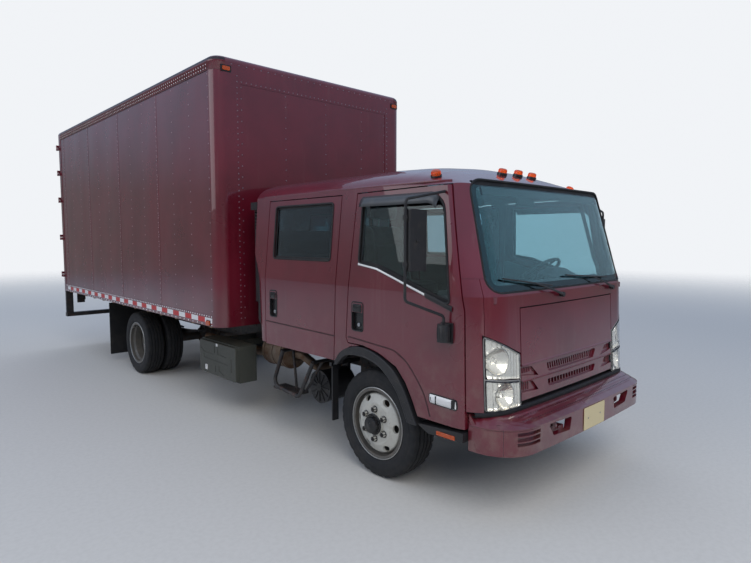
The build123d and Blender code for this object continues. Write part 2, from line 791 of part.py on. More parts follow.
def make_cab_panels(shell, layer):
    """Fixed cab panels: front, roof, back wall and pillars, cut from the shell."""
    shut_line = [(station - GAP, height) for station, height in FRONT_DOOR[:3]]
    ahead = [(-200, FRONT_LOW), (shut_line[0][0] + 3, FRONT_LOW)] + shut_line[1:]
    ahead += [(shut_line[2][0], CANT_HEIGHT), (-200, CANT_HEIGHT)]
    hole = [(x + GAP * (1 if x > 0 else -1), z) for x, z in HOOD]
    with BuildPart() as front:
        add(shell)
        side_cut(ahead, -1100, 1100, Mode.INTERSECT)
        front_cut(WINDSCREEN, -100, 700, Mode.SUBTRACT, radius=WINDSCREEN_CORNER)
        front_cut(
            [
                (hole[0][0], 500), (hole[1][0], 500), (hole[2][0], HOOD[2][1] + GAP),
                (hole[3][0], HOOD[3][1] + GAP),
            ],
            -100, 700, Mode.SUBTRACT,
        )
        for side in (-1, 1):
            lamp = [(side * 640, 600), (side * 946, 600), (side * 946, 1190), (side * 640, 1048)]
            front_cut(lamp, -100, 300, Mode.SUBTRACT)
        block((-884, 884), (296, 304), (CAB_FLOOR + 41, 1420))
        block((-884, 884), (225, 304), (1380, 1420))
        add(cab_seams(layer), mode=Mode.SUBTRACT)
    save(front, "cab_front")

    with BuildPart() as roof:
        add(shell)
        block((-1100, 1100), (0, 3000), (CANT_HEIGHT, 2500), Mode.INTERSECT)
        front_cut(WINDSCREEN, -100, 700, Mode.SUBTRACT, radius=WINDSCREEN_CORNER)
        for side in (-1, 1):
            bent_tube(
                [
                    (side * 912, 540, DRIP_RAIL), (side * 950, 620, DRIP_RAIL),
                    (side * 969, 730, DRIP_RAIL), (side * 969, 2640, DRIP_RAIL),
                ],
                9, 60,
            )
    save(roof, "cab_roof")

    with BuildPart() as back:
        add(shell)
        block((-1100, 1100), (2565 + GAP, 3000), (846, CANT_HEIGHT), Mode.INTERSECT)
        front_cut(BACK_WINDOW, 2600, 2900, Mode.SUBTRACT, radius=50)
    save(back, "cab_back_wall")

    with BuildPart() as pillars:
        add(shell)
        outline = [
            (505 - GAP, CANT_HEIGHT), (505 - GAP, 2112), (1200, 1000), (1500, 836),
            (2565 + GAP, 836), (2565 + GAP, CANT_HEIGHT),
        ]
        side_cut(outline, -1100, 1100, Mode.INTERSECT)
        for low, high in DOOR_SPAN.values():
            widened_cut(FRONT_DOOR, GAP, low, high, Mode.SUBTRACT)
            widened_cut(REAR_DOOR, GAP, low, high, Mode.SUBTRACT)
        side_cut(
            [(1200, 700), (1200, 1012), (1407, 970), (1522, 910), (1583, 812), (1583, 700)],
            -1100, 1100, Mode.SUBTRACT,
        )
    save(pillars, "cab_pillars")


def make_hood(shell, skin_layer, pocket_layer):
    """Front service panel with its fold line, two slotted grille openings and side pockets."""
    with BuildPart() as hood:
        add(shell)
        front_cut(HOOD, -100, 300, Mode.INTERSECT)
        add(fold_step(skin_layer), mode=Mode.SUBTRACT)
        add(grille_recesses(pocket_layer), mode=Mode.SUBTRACT)
        grille_slots(count=11, pitch=29, size=(17, 44), height=918, lean=12)
        grille_slots(count=8, pitch=39, size=(29, 34), height=810, lean=6)
    save(hood, "hood")


def make_doors(shell, pane, layer):
    """Four side doors with window openings, swage line, sunk handles and glass."""
    table = (
        # name, outline, window, handle stations, handle heights, swage line
        ("front", FRONT_DOOR, FRONT_WINDOW, (1258, 1379), (1100, 1310), FRONT_SWAGE),
        ("rear", REAR_DOOR, REAR_WINDOW, (2385, 2491), (1090, 1320), REAR_SWAGE),
    )
    for hand, side in SIDES:
        low, high = DOOR_SPAN[hand]
        for place, outline, window, stations, heights, swage in table:
            front, rear = stations
            foot, head = heights
            with BuildPart() as door:
                add(shell)
                side_cut(outline, low, high, Mode.INTERSECT)
                side_cut(window, low, high, Mode.SUBTRACT, radius=35)
                add(side_groove(swage, 7, layer, (low, high)), mode=Mode.SUBTRACT)
                sunk = sorted((side * (CAB_HALF_WIDTH - 22), side * (CAB_HALF_WIDTH + 5)))
                block(sunk, stations, heights, Mode.SUBTRACT)
                lever = sorted((side * (CAB_HALF_WIDTH - 8), side * (CAB_HALF_WIDTH + 4)))
                block(lever, (front, rear), (head - 74, head))
                stem = sorted((side * (CAB_HALF_WIDTH - 24), side * (CAB_HALF_WIDTH - 6)))
                block(stem, (front, rear), (head - 30, head))
            save(door, f"{hand}_{place}_door")
            with BuildPart() as glass:
                add(pane)
                side_cut(window, low, high, Mode.INTERSECT, radius=35)
            save(glass, f"{hand}_{place}_glass")


def make_mirrors():
    """Door mirrors: cup-shaped base, C-shaped tube and upright head with a sunk face."""
    for hand, side in SIDES:
        tube = [
            (side * 984, 540, 2070), (side * 1300, 575, 2010), (side * 1300, 580, 1400),
            (side * 1069, 470, 1300), (side * 1069, 470, 1245),
        ]
        with BuildPart() as mirror_piece:
            bent_tube(tube, 9, 30)
            rod((side * 1069, 470, 1140), (side * 1069, 470, 1250), 38)
            with BuildSketch(Plane.XY.offset(1580)) as head:
                with BuildLine():
                    Polyline(
                        (side * 1292, at(548)), (side * 1290, at(610)), (side * 1150, at(575)),
                        (side * 1158, at(530)), close=True,
                    )
                make_face()
                fillet(head.vertices(), 11)
            extrude(head.sketch, amount=370)
            glass_face = Plane(
                origin=(side * 1220, at(593), 1765), x_dir=(side * 0.970, 0.243, 0),
                z_dir=(-side * 0.243, 0.970, 0),
            )
            with BuildSketch(glass_face) as sunk:
                RectangleRounded(112, 338, 12)
            extrude(sunk.sketch, amount=10, both=True, mode=Mode.SUBTRACT)
            rod((side * 1300, 580, 1620), (side * 1270, 578, 1620), 14)
            rod((side * 1300, 580, 1900), (side * 1270, 578, 1900), 14)
        save(mirror_piece, f"{hand}_mirror")


def make_cab_floor():
    """Cab floor with the raised engine cover, sills and step wells."""
    with BuildPart() as floor:
        add(cab_form(CAB_WALL + 8, CAB_LOW - 20))
        block((-1100, 1100), (306, 2700), (CAB_FLOOR, CAB_FLOOR + 40), Mode.INTERSECT)
        block((-330, 330), (600, 1700), (CAB_FLOOR, 1210))
        block((-285, 285), (640, 1660), (CAB_FLOOR - 10, 1165), Mode.SUBTRACT)
        for rail in (-1, 1):
            block(sorted((rail * 340, rail * 400)), (300, 2600), (RAIL_HIGH, CAB_FLOOR))
    save(floor, "cab_floor")


def make_windscreen():
    """Windscreen and back window panes."""
    middle = 1790
    share = 0.997
    pane = [(x * share, middle + (z - middle) * share) for x, z in WINDSCREEN]
    back = [(x * share, middle + (z - middle) * share) for x, z in BACK_WINDOW]
    with BuildPart() as glass:
        add(cab_skin(7, 13))
        front_cut(pane, -100, 640, Mode.INTERSECT, radius=WINDSCREEN_CORNER)
        front_cut(back, CAB_BACK - 25, CAB_BACK - 20, radius=50)
    save(glass, "windshield")


def make_headlamps():
    """Two stacked clear lamp units at each front corner, wrapping to the side."""
    with BuildPart() as lamps:
        add(cab_skin(1, 40))
        front_cut(((657, 716), (940, 720), (940, 1182), (657, 1046)), -100, 300, Mode.INTERSECT)
        front_cut(((600, 870), (1000, 922), (1000, 928), (600, 876)), -100, 400, Mode.SUBTRACT)
        mirror(about=Plane.YZ)
    save(lamps, "headlamps")


def bumper_section(inset, back, corner, height):
    """Plan of the bumper at a height, made smaller by an inset, its front moved back."""
    half = BUMPER_HALF_WIDTH - inset
    front = inset + back
    with BuildSketch(Plane.XY.offset(height)) as plan:
        with BuildLine():
            ThreePointArc((-half, at(front + 30)), (0, at(front)), (half, at(front + 30)))
            Polyline(
                (half, at(front + 30)), (half, at(BUMPER_BACK)), (-half, at(BUMPER_BACK)),
                (-half, at(front + 30)),
            )
        make_face()
        fillet(plan.vertices().group_by(Axis.Y)[0], corner)
    return plan.sketch


def bumper_solid(inset, low, high):
    """Upright solid of the bumper's plan between two heights."""
    with BuildPart() as solid:
        extrude(bumper_section(inset, 0, BUMPER_CORNER - inset, low), amount=high - low)
    return solid.part


def bumper_rind(depth, low, high):
    """Outer layer of the bumper's upright face between two heights."""
    with BuildPart() as rind:
        add(bumper_solid(-3, low, high))
        add(bumper_solid(depth, low - 1, high + 1), mode=Mode.SUBTRACT)
    return rind.part


def bumper_louvres():
    """Sunk louvres near each end of the bumper, three slots apiece."""
    with BuildPart() as louvres:
        for low, high in ((532, 552), (560, 586), (594, 616)):
            for side in (-1, 1):
                block(sorted((side * 683, side * 865)), (-50, 300), (low, high))
        add(bumper_rind(24, 500, 620), mode=Mode.INTERSECT)
    return louvres.part


def bumper_crease():
    """The shallow parting line round each end of the bumper."""
    with BuildPart() as crease:
        add(bumper_rind(3, 626, 630))
        block((-690, 690), (-50, 400), (620, 640), Mode.SUBTRACT)
    return crease.part


def make_bumper():
    """Front bumper: bowed upright face, sloping top, deep ends, louvres and tow pockets."""
    low, shoulder, high = 470, 636, 700
    ledge_back = 205
    wall = 45
    inner = BUMPER_HALF_WIDTH - wall
    tow_pocket = ((312, 612), (592, 620), (530, 536), (332, 526))
    end_rise = ((268, shoulder - 6), (BUMPER_BACK, high), (BUMPER_BACK, shoulder - 6))
    with BuildPart() as bumper:
        add(bumper_solid(0, low, shoulder))
        loft([
            bumper_section(0, 0, BUMPER_CORNER, shoulder),
            bumper_section(60, 130, 100, high),
        ])
        add(bumper_solid(wall, low - 5, shoulder - 26), mode=Mode.SUBTRACT)
        block((-930, 930), (115, 400), (low - 5, 655), Mode.SUBTRACT)
        block((-inner, inner), (ledge_back, 400), (400, 800), Mode.SUBTRACT)
        add(bumper_louvres(), mode=Mode.SUBTRACT)
        add(bumper_crease(), mode=Mode.SUBTRACT)
        for side in (-1, 1):
            side_cut(end_rise, *sorted((side * inner, side * (BUMPER_HALF_WIDTH - 3))))
            front_cut([(side * x, z) for x, z in tow_pocket], -50, 70, Mode.SUBTRACT, radius=14)
            block(sorted((side * 355, side * 415)), (40, RAIL_FRONT), (480, 560))
            with BuildSketch(Plane.YZ.offset(side * 450 - 8)) as eye:
                with Locations((at(75), 570)):
                    Circle(38)
                    Circle(18, mode=Mode.SUBTRACT)
            extrude(eye.sketch, amount=16)
            block(sorted((side * 410, side * 458)), (95, 160), (545, 560))
        for x in (-PLATE_BOLT_SPACING / 2, PLATE_BOLT_SPACING / 2):
            rod(
                (x, -20, PLATE_BOLT_HEIGHT), (x, 80, PLATE_BOLT_HEIGHT), PLATE_BOLT_HOLE / 2,
                Mode.SUBTRACT,
            )
    save(bumper, "front_bumper")


def make_cab_trim():
    """Black trim: wheel-arch flares, step sills, front closing panel and splash flaps."""
    with BuildPart() as trim:
        with BuildSketch(Plane.YZ.offset(985)) as flare:
            with BuildLine():
                outer = Spline(*side_points(FLARE_OUTER))
                inner = Spline(*side_points(FLARE_INNER))
                Line(outer @ 1, inner @ 0)
                Line(inner @ 1, outer @ 0)
            make_face()
        extrude(flare.sketch, amount=67)
        side_cut(((338, 524), (620, 509), (722, 556), (338, 582)), 880, 1034)
        block((0, 630), (264, 288), (566, 800))
        block((930, 990), (1664, 1676), (330, 770))
        block((700, 1000), (1664, 1690), (770, 800))
        mirror(about=Plane.YZ)
    save(trim, "cab_trim")


def make_interior():
    """Dashboard with steering column, and the seats."""
    with BuildPart() as dash:
        add(cab_form(CAB_WALL + 12, CAB_LOW - 20))
        side_cut(
            ((310, 1180), (310, 1420), (420, 1470), (600, 1440), (640, 1330), (560, 1180)),
            -1000, 1000, Mode.INTERSECT,
        )
        rod((500, 560, 1230), (500, 745, 1462), 35)
    save(dash, "dashboard")
    with BuildPart() as seats:
        for x, half in ((580, 240), (-540, 280)):
            block((x - half, x + half), (1010, 1470), (1216, 1330))
            block((x - 200, x + 200), (1060, 1440), (CAB_FLOOR + 41, 1216))
            side_cut(((1420, 1250), (1500, 1980), (1590, 1980), (1560, 1250)), x - half, x + half)
        block((-900, 900), (2130, 2640), (1180, 1330))
        block((-860, 860), (2170, 2620), (CAB_FLOOR + 41, 1180))
        side_cut(((2560, 1330), (2600, 1900), (2700, 1900), (2690, 1330)), -900, 900)
    save(seats, "seats")


def make_steering_wheel():
    """Rim, hub and spokes square to the column."""
    centre = Vector(500, at(757), 1477)
    axis = Vector(0, 0.6235, 0.7818)
    plane = Plane(origin=centre, x_dir=(1, 0, 0), z_dir=axis)
    with BuildPart() as wheel:
        with BuildSketch(plane) as rim_path:
            Circle(215)
            Circle(189, mode=Mode.SUBTRACT)
        extrude(rim_path.sketch, amount=13, both=True)
        with BuildSketch(plane) as hub:
            Circle(48)
            for angle in (0, 120, 240):
                with Locations(Location((0, 0), angle - 90)):
                    with Locations((110, 0)):
                        Rectangle(180, 34)
        extrude(hub.sketch, amount=9, both=True)
    save(wheel, "steering_wheel")


# Van body

def make_box_floor():
    """Load floor on long sills and cross sills."""
    first, last = 3300, 8200
    with BuildPart() as floor:
        block(
            (-BOX_HALF_WIDTH + 34, BOX_HALF_WIDTH - 34), (BOX_FRONT + 40, BOX_REAR - 102),
            (BOX_FLOOR - 35, BOX_FLOOR),
        )
        fillet(floor.edges().filter_by(Axis.Z).group_by(Axis.Y)[0], 100)
        for number in range(int((last - first) / POST_PITCH) + 1):
            station = first + number * POST_PITCH
            block(
                (-BOX_HALF_WIDTH + 34, BOX_HALF_WIDTH - 34), (station, station + 45),
                (900, BOX_FLOOR - 35),
            )
        for side in (-1, 1):
            block(
                sorted((side * 365, side * 420)), (BOX_FRONT + 60, BOX_REAR - 110),
                (RAIL_HIGH, 900),
            )
    save(floor, "box_floor")


def make_box_sides():
    """Side walls with bottom rail and top rail, both sides."""
    stations = (FIRST_POST, BOX_REAR - 100)
    face = BOX_HALF_WIDTH
    with BuildPart() as sides:
        block((face - BOX_WALL, face), stations, (BOX_LOW, BOX_TOP - ROOF_RAIL))
        block((face, face + 5), stations, (BOX_LOW, BOX_LOW + 110))
        block((face, face + 5), stations, (BOX_TOP - ROOF_RAIL - 70, BOX_TOP - ROOF_RAIL))
        mirror(about=Plane.YZ)
    save(sides, "box_sides")


def make_box_front():
    """Front wall between rounded corner posts that stand a little proud."""
    post = 4
    outer_line = [
        (-BOX_HALF_WIDTH - post, at(FIRST_POST)), (-BOX_HALF_WIDTH - post, at(BOX_FRONT)),
        (BOX_HALF_WIDTH + post, at(BOX_FRONT)), (BOX_HALF_WIDTH + post, at(FIRST_POST)),
    ]
    inner_line = [
        (BOX_HALF_WIDTH - BOX_WALL, at(FIRST_POST)),
        (BOX_HALF_WIDTH - BOX_WALL, at(BOX_FRONT + BOX_WALL)),
        (-BOX_HALF_WIDTH + BOX_WALL, at(BOX_FRONT + BOX_WALL)),
        (-BOX_HALF_WIDTH + BOX_WALL, at(FIRST_POST)),
    ]
    with BuildPart() as wall:
        with BuildSketch(Plane.XY.offset(BOX_LOW)) as plan:
            with BuildLine():
                Polyline(*outer_line, *inner_line, close=True)
            make_face()
            outer = plan.vertices().filter_by(lambda v: abs(v.Y - at(BOX_FRONT)) < 1)
            fillet(outer, CORNER_RADIUS)
            inner = plan.vertices().filter_by(lambda v: abs(v.Y - at(BOX_FRONT + BOX_WALL)) < 1)
            fillet(inner, 60)
        extrude(plan.sketch, amount=BOX_TOP - ROOF_RAIL - BOX_LOW)
        block((-955, 955), (BOX_FRONT - 1, BOX_FRONT + post), (BOX_LOW - 1, 3230), Mode.SUBTRACT)
    save(wall, "box_front_wall")


def make_box_roof():
    """Roof with rolled side and front edges over a rail, open below."""
    side_reach = BOX_HALF_WIDTH + 5
    middle = at((BOX_FRONT + BOX_REAR - 100) / 2)
    length = BOX_REAR - 100 - BOX_FRONT
    with BuildPart() as roof:
        with BuildSketch(Plane.XY.offset(BOX_TOP - ROOF_RAIL)) as plan:
            with Locations((0, middle)):
                Rectangle(2 * side_reach, length)
            fillet(plan.vertices().group_by(Axis.Y)[0], CORNER_RADIUS)
        extrude(plan.sketch, amount=ROOF_RAIL)
        rolled = roof.faces().sort_by(Axis.Z)[-1].edges().sort_by(Axis.Y)[:-1]
        fillet(rolled, 50)
        with BuildSketch(Plane.XY.offset(BOX_TOP - ROOF_RAIL - 1)) as inner:
            with Locations((0, middle)):
                Rectangle(2 * side_reach - 90, length - 80)
        extrude(inner.sketch, amount=ROOF_RAIL - 15, mode=Mode.SUBTRACT)
    save(roof, "box_roof")


def make_box_rear():
    """Rear frame: posts, header and sill around the door opening, with hinge lugs."""
    with BuildPart() as frame:
        block(
            (-BOX_HALF_WIDTH - 5, BOX_HALF_WIDTH + 5), (BOX_REAR - 100, BOX_REAR),
            (BOX_LOW, BOX_TOP),
        )
        top = frame.edges().filter_by(Axis.Y).group_by(Axis.Z)[-1]
        fillet(top, 50)
        block((-1155, 1155), (BOX_REAR - 150, BOX_REAR + 50), (1050, 3370), Mode.SUBTRACT)
        for side in (-1, 1):
            for height in HINGE_HEIGHTS:
                pin = side * HINGE_PIN
                rod((pin, HINGE_STATION, height), (pin, HINGE_STATION, height + 40), 10)
                block(
                    sorted((side * 1222, side * 1242)), (BOX_REAR - 40, HINGE_STATION),
                    (height, height + 40),
                )
    save(frame, "box_rear_frame")



def make_cargo_doors():
    """Two swing doors with strap hinges, lock rods, keepers and handles."""
    for hand, side in SIDES:
        with BuildPart() as door:
            block(sorted((side * 5, side * 1148)), (BOX_REAR - 40, BOX_REAR), (1058, 3362))
            pin = side * HINGE_PIN
            for height in HINGE_HEIGHTS:
                foot, head = height + 45, height + 85
                rod((pin, HINGE_STATION, foot), (pin, HINGE_STATION, head), 10)
                block(sorted((side * 1060, pin)), (BOX_REAR + 35, HINGE_STATION), (foot, head))
                block(sorted((side * 1060, side * 1140)), (BOX_REAR, BOX_REAR + 40), (foot, head))
            rod((side * 180, BOX_REAR + 22, 1070), (side * 180, BOX_REAR + 22, 3350), 14)
            for height in (1090, 1700, 2300, 2900, 3300):
                block(sorted((side * 155, side * 205)), (BOX_REAR, BOX_REAR + 24), (height, height + 40))
            block(sorted((side * 180, side * 560)), (BOX_REAR + 14, BOX_REAR + 30), (1330, 1360))
            block(sorted((side * 500, side * 560)), (BOX_REAR, BOX_REAR + 16), (1320, 1370))
        save(door, f"{hand}_cargo_door")


def make_underride():
    """Rear underride guard: posts under the sill and a low cross bar."""
    with BuildPart() as guard:
        block((-1224, 1224), (8280, 8380), (500, 560))
        for side in (-1, 1):
            block(sorted((side * 1124, side * 1224)), (8290, 8350), (540, BOX_LOW))
            block(sorted((side * 370, side * 430)), (RAIL_REAR, 8370), (540, RAIL_HIGH))
    save(guard, "underride_guard")


def make_mud_flaps():
    """Rubber flaps behind the rear wheels, on hanger bars."""
    with BuildPart() as flaps:
        block((560, 1100), (6595, 6605), (120, 860))
        rod((RAIL_OUTER, 6615, 800), (1090, 6615, 800), 12)
        mirror(about=Plane.YZ)
    save(flaps, "mud_flaps")


def make_lamps():
    """Amber roof and box marker lamps, and the tail lamps."""
    roof_lamps = (
        (0, 650, 2266), (200, 655, 2261), (-200, 655, 2261), (880, 700, 2189), (-880, 700, 2189),
    )
    with BuildPart() as lamps:
        for x, station, z in roof_lamps:
            with Locations((x, at(station), z)):
                Cylinder(32, 44)
        add(cab_form(0, CAB_LOW), mode=Mode.SUBTRACT)
        for side in (-1, 1):
            block(sorted((side * 1060, side * 1140)), (BOX_FRONT - 12, BOX_FRONT), (3326, 3370))
            outer = sorted((side * (BOX_HALF_WIDTH + 5), side * (BOX_HALF_WIDTH + 22)))
            block(outer, (3250, 3320), (935, 980))
            block(sorted((side * 945, side * 1050)), (8330, 8352), (720, 900))
            block(sorted((side * 945, side * 965)), (8270, 8330), (760, BOX_LOW))
    save(lamps, "lamps")


def make_all():
    """Build every piece in order."""
    make_frame()
    make_springs()
    make_front_axle()
    make_rear_axle()
    make_driveshaft()
    make_engine()
    make_exhaust()
    make_fuel_tank()
    make_battery_box()
    make_air_intake()
    make_step_frames()
    make_front_wheels()
    make_rear_wheels()
    make_knuckles()
    make_tie_rod()
    shell = cab_skin(0, CAB_WALL)
    layer = cab_skin(-3, 4)
    make_cab_panels(shell, layer)
    make_hood(shell, layer, cab_skin(-3, 20))
    make_doors(shell, cab_skin(15, 20), layer)
    make_mirrors()
    make_cab_floor()
    make_windscreen()
    make_headlamps()
    make_bumper()
    make_cab_trim()
    make_interior()
    make_steering_wheel()
    make_box_floor()
    make_box_sides()
    make_box_front()
    make_box_roof()
    make_box_rear()
    make_cargo_doors()
    make_underride()
    make_mud_flaps()
    make_lamps()


make_all()
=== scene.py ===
from math import ceil, cos, exp, hypot, pi, radians, sin, sqrt, tan

import bmesh
import bpy
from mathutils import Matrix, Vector


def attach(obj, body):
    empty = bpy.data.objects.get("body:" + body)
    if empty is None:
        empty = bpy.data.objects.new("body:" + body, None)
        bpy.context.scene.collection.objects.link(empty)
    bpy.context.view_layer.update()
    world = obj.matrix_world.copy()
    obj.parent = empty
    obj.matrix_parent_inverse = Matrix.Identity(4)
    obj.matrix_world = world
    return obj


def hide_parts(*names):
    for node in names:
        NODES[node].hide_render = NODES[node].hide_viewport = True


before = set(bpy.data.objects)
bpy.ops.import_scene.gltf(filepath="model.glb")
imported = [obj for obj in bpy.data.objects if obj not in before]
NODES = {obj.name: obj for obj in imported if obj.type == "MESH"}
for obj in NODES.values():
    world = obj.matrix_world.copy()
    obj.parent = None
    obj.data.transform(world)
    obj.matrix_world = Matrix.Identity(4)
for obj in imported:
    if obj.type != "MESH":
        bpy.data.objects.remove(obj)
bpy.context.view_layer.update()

# Crew-cab box truck. Metres, in the frame of the CAD model: the front faces -Y, the
# truck's left side is +X, the ground is Z = 0. A station is a distance behind the
# bumper's front face, and at() turns it into Y.

SIDES = (("left", 1), ("right", -1))
LENGTH = 8.413

WHEEL_HEIGHT = 0.4055
TYRE_RADIUS = 0.4055
FRONT_AXLE = 1.220
REAR_AXLE = 5.690
FRONT_WHEEL_X = 0.8325
REAR_OUTER_X = 0.952
REAR_INNER_X = 0.698

CAB_HALF = 1.030
CAB_CORNER = 0.270
BELT = 1.420
BOX_HALF = 1.220
BOX_FRONT = 3.080
BOX_SIDE_FRONT = 3.203
BOX_REAR = 8.358
BOX_TOP = 3.465
POST_PITCH = 0.4064


def at(station):
    """Y of a station behind the bumper's front face."""
    return station - LENGTH / 2


# Surfaces of the cab, as the CAD model has them

def lean_shift(z):
    """How far back the cab's front stands at a height, from where it is at the belt."""
    return (0.30 if z > BELT else 0.0488) * (z - BELT)


def cab_front(x, z, inset=0.0):
    """Station of the cab's front face at X and Z."""
    half = CAB_HALF - inset
    corner = CAB_CORNER - inset
    across = abs(x)
    start = half - corner
    if across <= start:
        station = 0.190 + inset + 0.030 * (across / half) ** 2
    else:
        swing = min(across - start, corner - 0.0005)
        station = 0.2058 + inset + corner - sqrt(corner * corner - swing * swing)
    return station + lean_shift(z)


def cab_side(station, z, inset=0.0):
    """X of the cab's left side face at a station and Z."""
    half = CAB_HALF - inset
    corner = CAB_CORNER - inset
    section = half
    if z > BELT:
        section = half - 0.050 * (z - BELT) / 0.670
    if z > 2.090 - inset:
        section -= 0.42 * (z - 2.090 + inset)
    centre = 0.4758 + lean_shift(z)
    plan = half
    if station < centre:
        back = min(centre - station, corner - 0.0005)
        plan = half - corner + sqrt(corner * corner - back * back)
    return min(plan, section)


def on_side(side, inset, out=0.0):
    """A function that puts (station, z) on the cab's side face, or outside it."""
    return lambda station, z: Vector((side * (cab_side(station, z, inset) + out), at(station), z))


def on_front(inset):
    """A function that puts (x, z) on the cab's front face."""
    return lambda x, z: Vector((x, at(cab_front(x, z, inset)), z))


def placed(place, outline):
    """An outline's points, each put in the frame by a function such as on_side's."""
    return [place(u, v) for u, v in outline]


def flipped(side, point):
    """A point of the left side, on the side asked for."""
    return Vector((side * point.x, point.y, point.z))


# Materials

class Finish:
    """A material and the few node recipes that its colour, roughness and bump use."""

    def __init__(self, name, colour, roughness=0.5, metallic=0.0, **sockets):
        self.material = bpy.data.materials.new(name)
        self.material.use_nodes = True
        self.material.diffuse_color = (*colour, 1.0)
        self.tree = self.material.node_tree
        self.shader = self.tree.nodes["Principled BSDF"]
        self.shader.inputs["Base Color"].default_value = (*colour, 1.0)
        self.shader.inputs["Roughness"].default_value = roughness
        self.shader.inputs["Metallic"].default_value = metallic
        for socket, value in sockets.items():
            self.shader.inputs[socket.replace("_", " ")].default_value = value
        self.colour = (*colour, 1.0)
        self.height = None
        self.place = self.node("ShaderNodeTexCoord").outputs["Object"]

    def node(self, kind, **values):
        made = self.tree.nodes.new(kind)
        for key, value in values.items():
            setattr(made, key, value)
        return made

    def link(self, source, target):
        if isinstance(source, bpy.types.NodeSocket):
            self.tree.links.new(source, target)
        else:
            target.default_value = source

    def textured(self, kind, stretch, **values):
        """A texture node on the coordinates, scaled by three factors if stretch has them."""
        texture = self.node(kind, **values)
        place = self.place
        if stretch:
            mapping = self.node("ShaderNodeMapping")
            self.link(place, mapping.inputs["Vector"])
            mapping.inputs["Scale"].default_value = stretch
            place = mapping.outputs["Vector"]
        self.link(place, texture.inputs["Vector"])
        return texture

    def noise(self, scale, detail=4.0, roughness=0.55, stretch=None):
        noise = self.textured("ShaderNodeTexNoise", stretch)
        noise.inputs["Scale"].default_value = scale
        noise.inputs["Detail"].default_value = detail
        noise.inputs["Roughness"].default_value = roughness
        return noise.outputs["Fac"]

    def cells(self, scale, stretch=None):
        cells = self.textured("ShaderNodeTexVoronoi", stretch)
        cells.inputs["Scale"].default_value = scale
        return cells.outputs["Distance"]

    def band(self, value, low, high):
        """0 below low, 1 above high, and smooth between."""
        band = self.node("ShaderNodeMapRange", interpolation_type="SMOOTHSTEP")
        self.link(value, band.inputs["Value"])
        band.inputs["From Min"].default_value = low
        band.inputs["From Max"].default_value = high
        return band.outputs["Result"]

    def math(self, operation, first, second):
        node = self.node("ShaderNodeMath", operation=operation)
        self.link(first, node.inputs[0])
        self.link(second, node.inputs[1])
        return node.outputs["Value"]

    def axis(self, name):
        """One coordinate of the place, in metres."""
        split = self.node("ShaderNodeSeparateXYZ")
        self.link(self.place, split.inputs["Vector"])
        return split.outputs[name]

    def over(self, colour, factor, strength=None):
        """Lay a colour over what the finish has so far, by a factor and a strength."""
        if strength is not None:
            factor = self.math("MULTIPLY", factor, strength)
        mix = self.node("ShaderNodeMix", data_type="RGBA")
        self.link(factor, mix.inputs["Factor"])
        self.link(self.colour, mix.inputs["A"])
        self.link((*colour, 1.0), mix.inputs["B"])
        self.colour = mix.outputs["Result"]

    def stain(self, colour, grain, low, high, strength=None):
        """Lay a colour over where a noise of a grain lies above a band."""
        self.over(colour, self.band(self.noise(*grain), low, high), strength)

    def rough(self, value, low, high):
        """Let a 0 to 1 value spread the roughness between low and high."""
        spread = self.node("ShaderNodeMapRange")
        self.link(value, spread.inputs["Value"])
        spread.inputs["To Min"].default_value = low
        spread.inputs["To Max"].default_value = high
        self.link(spread.outputs["Result"], self.shader.inputs["Roughness"])

    def bump(self, value, distance):
        """Add a height to the bump, each on top of the one before."""
        bump = self.node("ShaderNodeBump")
        bump.inputs["Strength"].default_value = 1.0
        bump.inputs["Distance"].default_value = distance
        self.link(value, bump.inputs["Height"])
        if self.height is not None:
            self.link(self.height, bump.inputs["Normal"])
        self.height = bump.outputs["Normal"]

    def done(self):
        if isinstance(self.colour, bpy.types.NodeSocket):
            self.link(self.colour, self.shader.inputs["Base Color"])
        if self.height is not None:
            self.link(self.height, self.shader.inputs["Normal"])
        return self.material


ROAD_DUST = (0.23, 0.185, 0.14)
PAINT = (0.118, 0.0070, 0.0170)
PAINT_DEEP = (0.088, 0.0050, 0.0125)


def paint_finish(name, wave, wave_scale, dust, tall=0.7):
    """Burgundy enamel: slight colour drift, panel waves, road dust low down."""
    finish = Finish(name, PAINT, 0.3, Coat_Weight=1.0, Coat_Roughness=0.012, Coat_IOR=1.55)
    finish.stain(PAINT_DEEP, (1.7, 5.0), 0.35, 0.7)
    low_down = finish.math("SUBTRACT", 1.0, finish.band(finish.axis("Z"), 0.35, 1.35))
    patches = finish.band(finish.noise(9.0, 6.0, 0.65), 0.42, 0.75)
    finish.over(ROAD_DUST, finish.math("MULTIPLY", low_down, patches), dust)
    finish.stain((0.20, 0.13, 0.12), (5.0, 4.0, 0.6, (3.0, 3.0, 0.25)), 0.55, 0.80, 0.14)
    finish.rough(finish.noise(3.0, 3.0), 0.24, 0.34)
    finish.bump(finish.noise(wave_scale, 1.0, 0.4, (1.0, 1.0, tall)), wave)
    return finish.done()


def metal_paint(name, colour, roughness, rust=0.0, dust=0.25):
    """Chassis paint with stains, dust and, where asked, rust bleeding through."""
    finish = Finish(name, colour, roughness)
    finish.stain([c * 0.55 for c in colour], (6.0, 6.0), 0.4, 0.65)
    finish.stain(ROAD_DUST, (11.0, 8.0, 0.7), 0.45, 0.8, dust)
    if rust:
        finish.stain((0.16, 0.055, 0.022), (24.0, 8.0, 0.72), 0.52, 0.66, rust)
    finish.rough(finish.noise(30.0, 5.0), roughness - 0.12, min(roughness + 0.15, 1.0))
    finish.bump(finish.noise(90.0, 4.0), 0.0004)
    return finish.done()


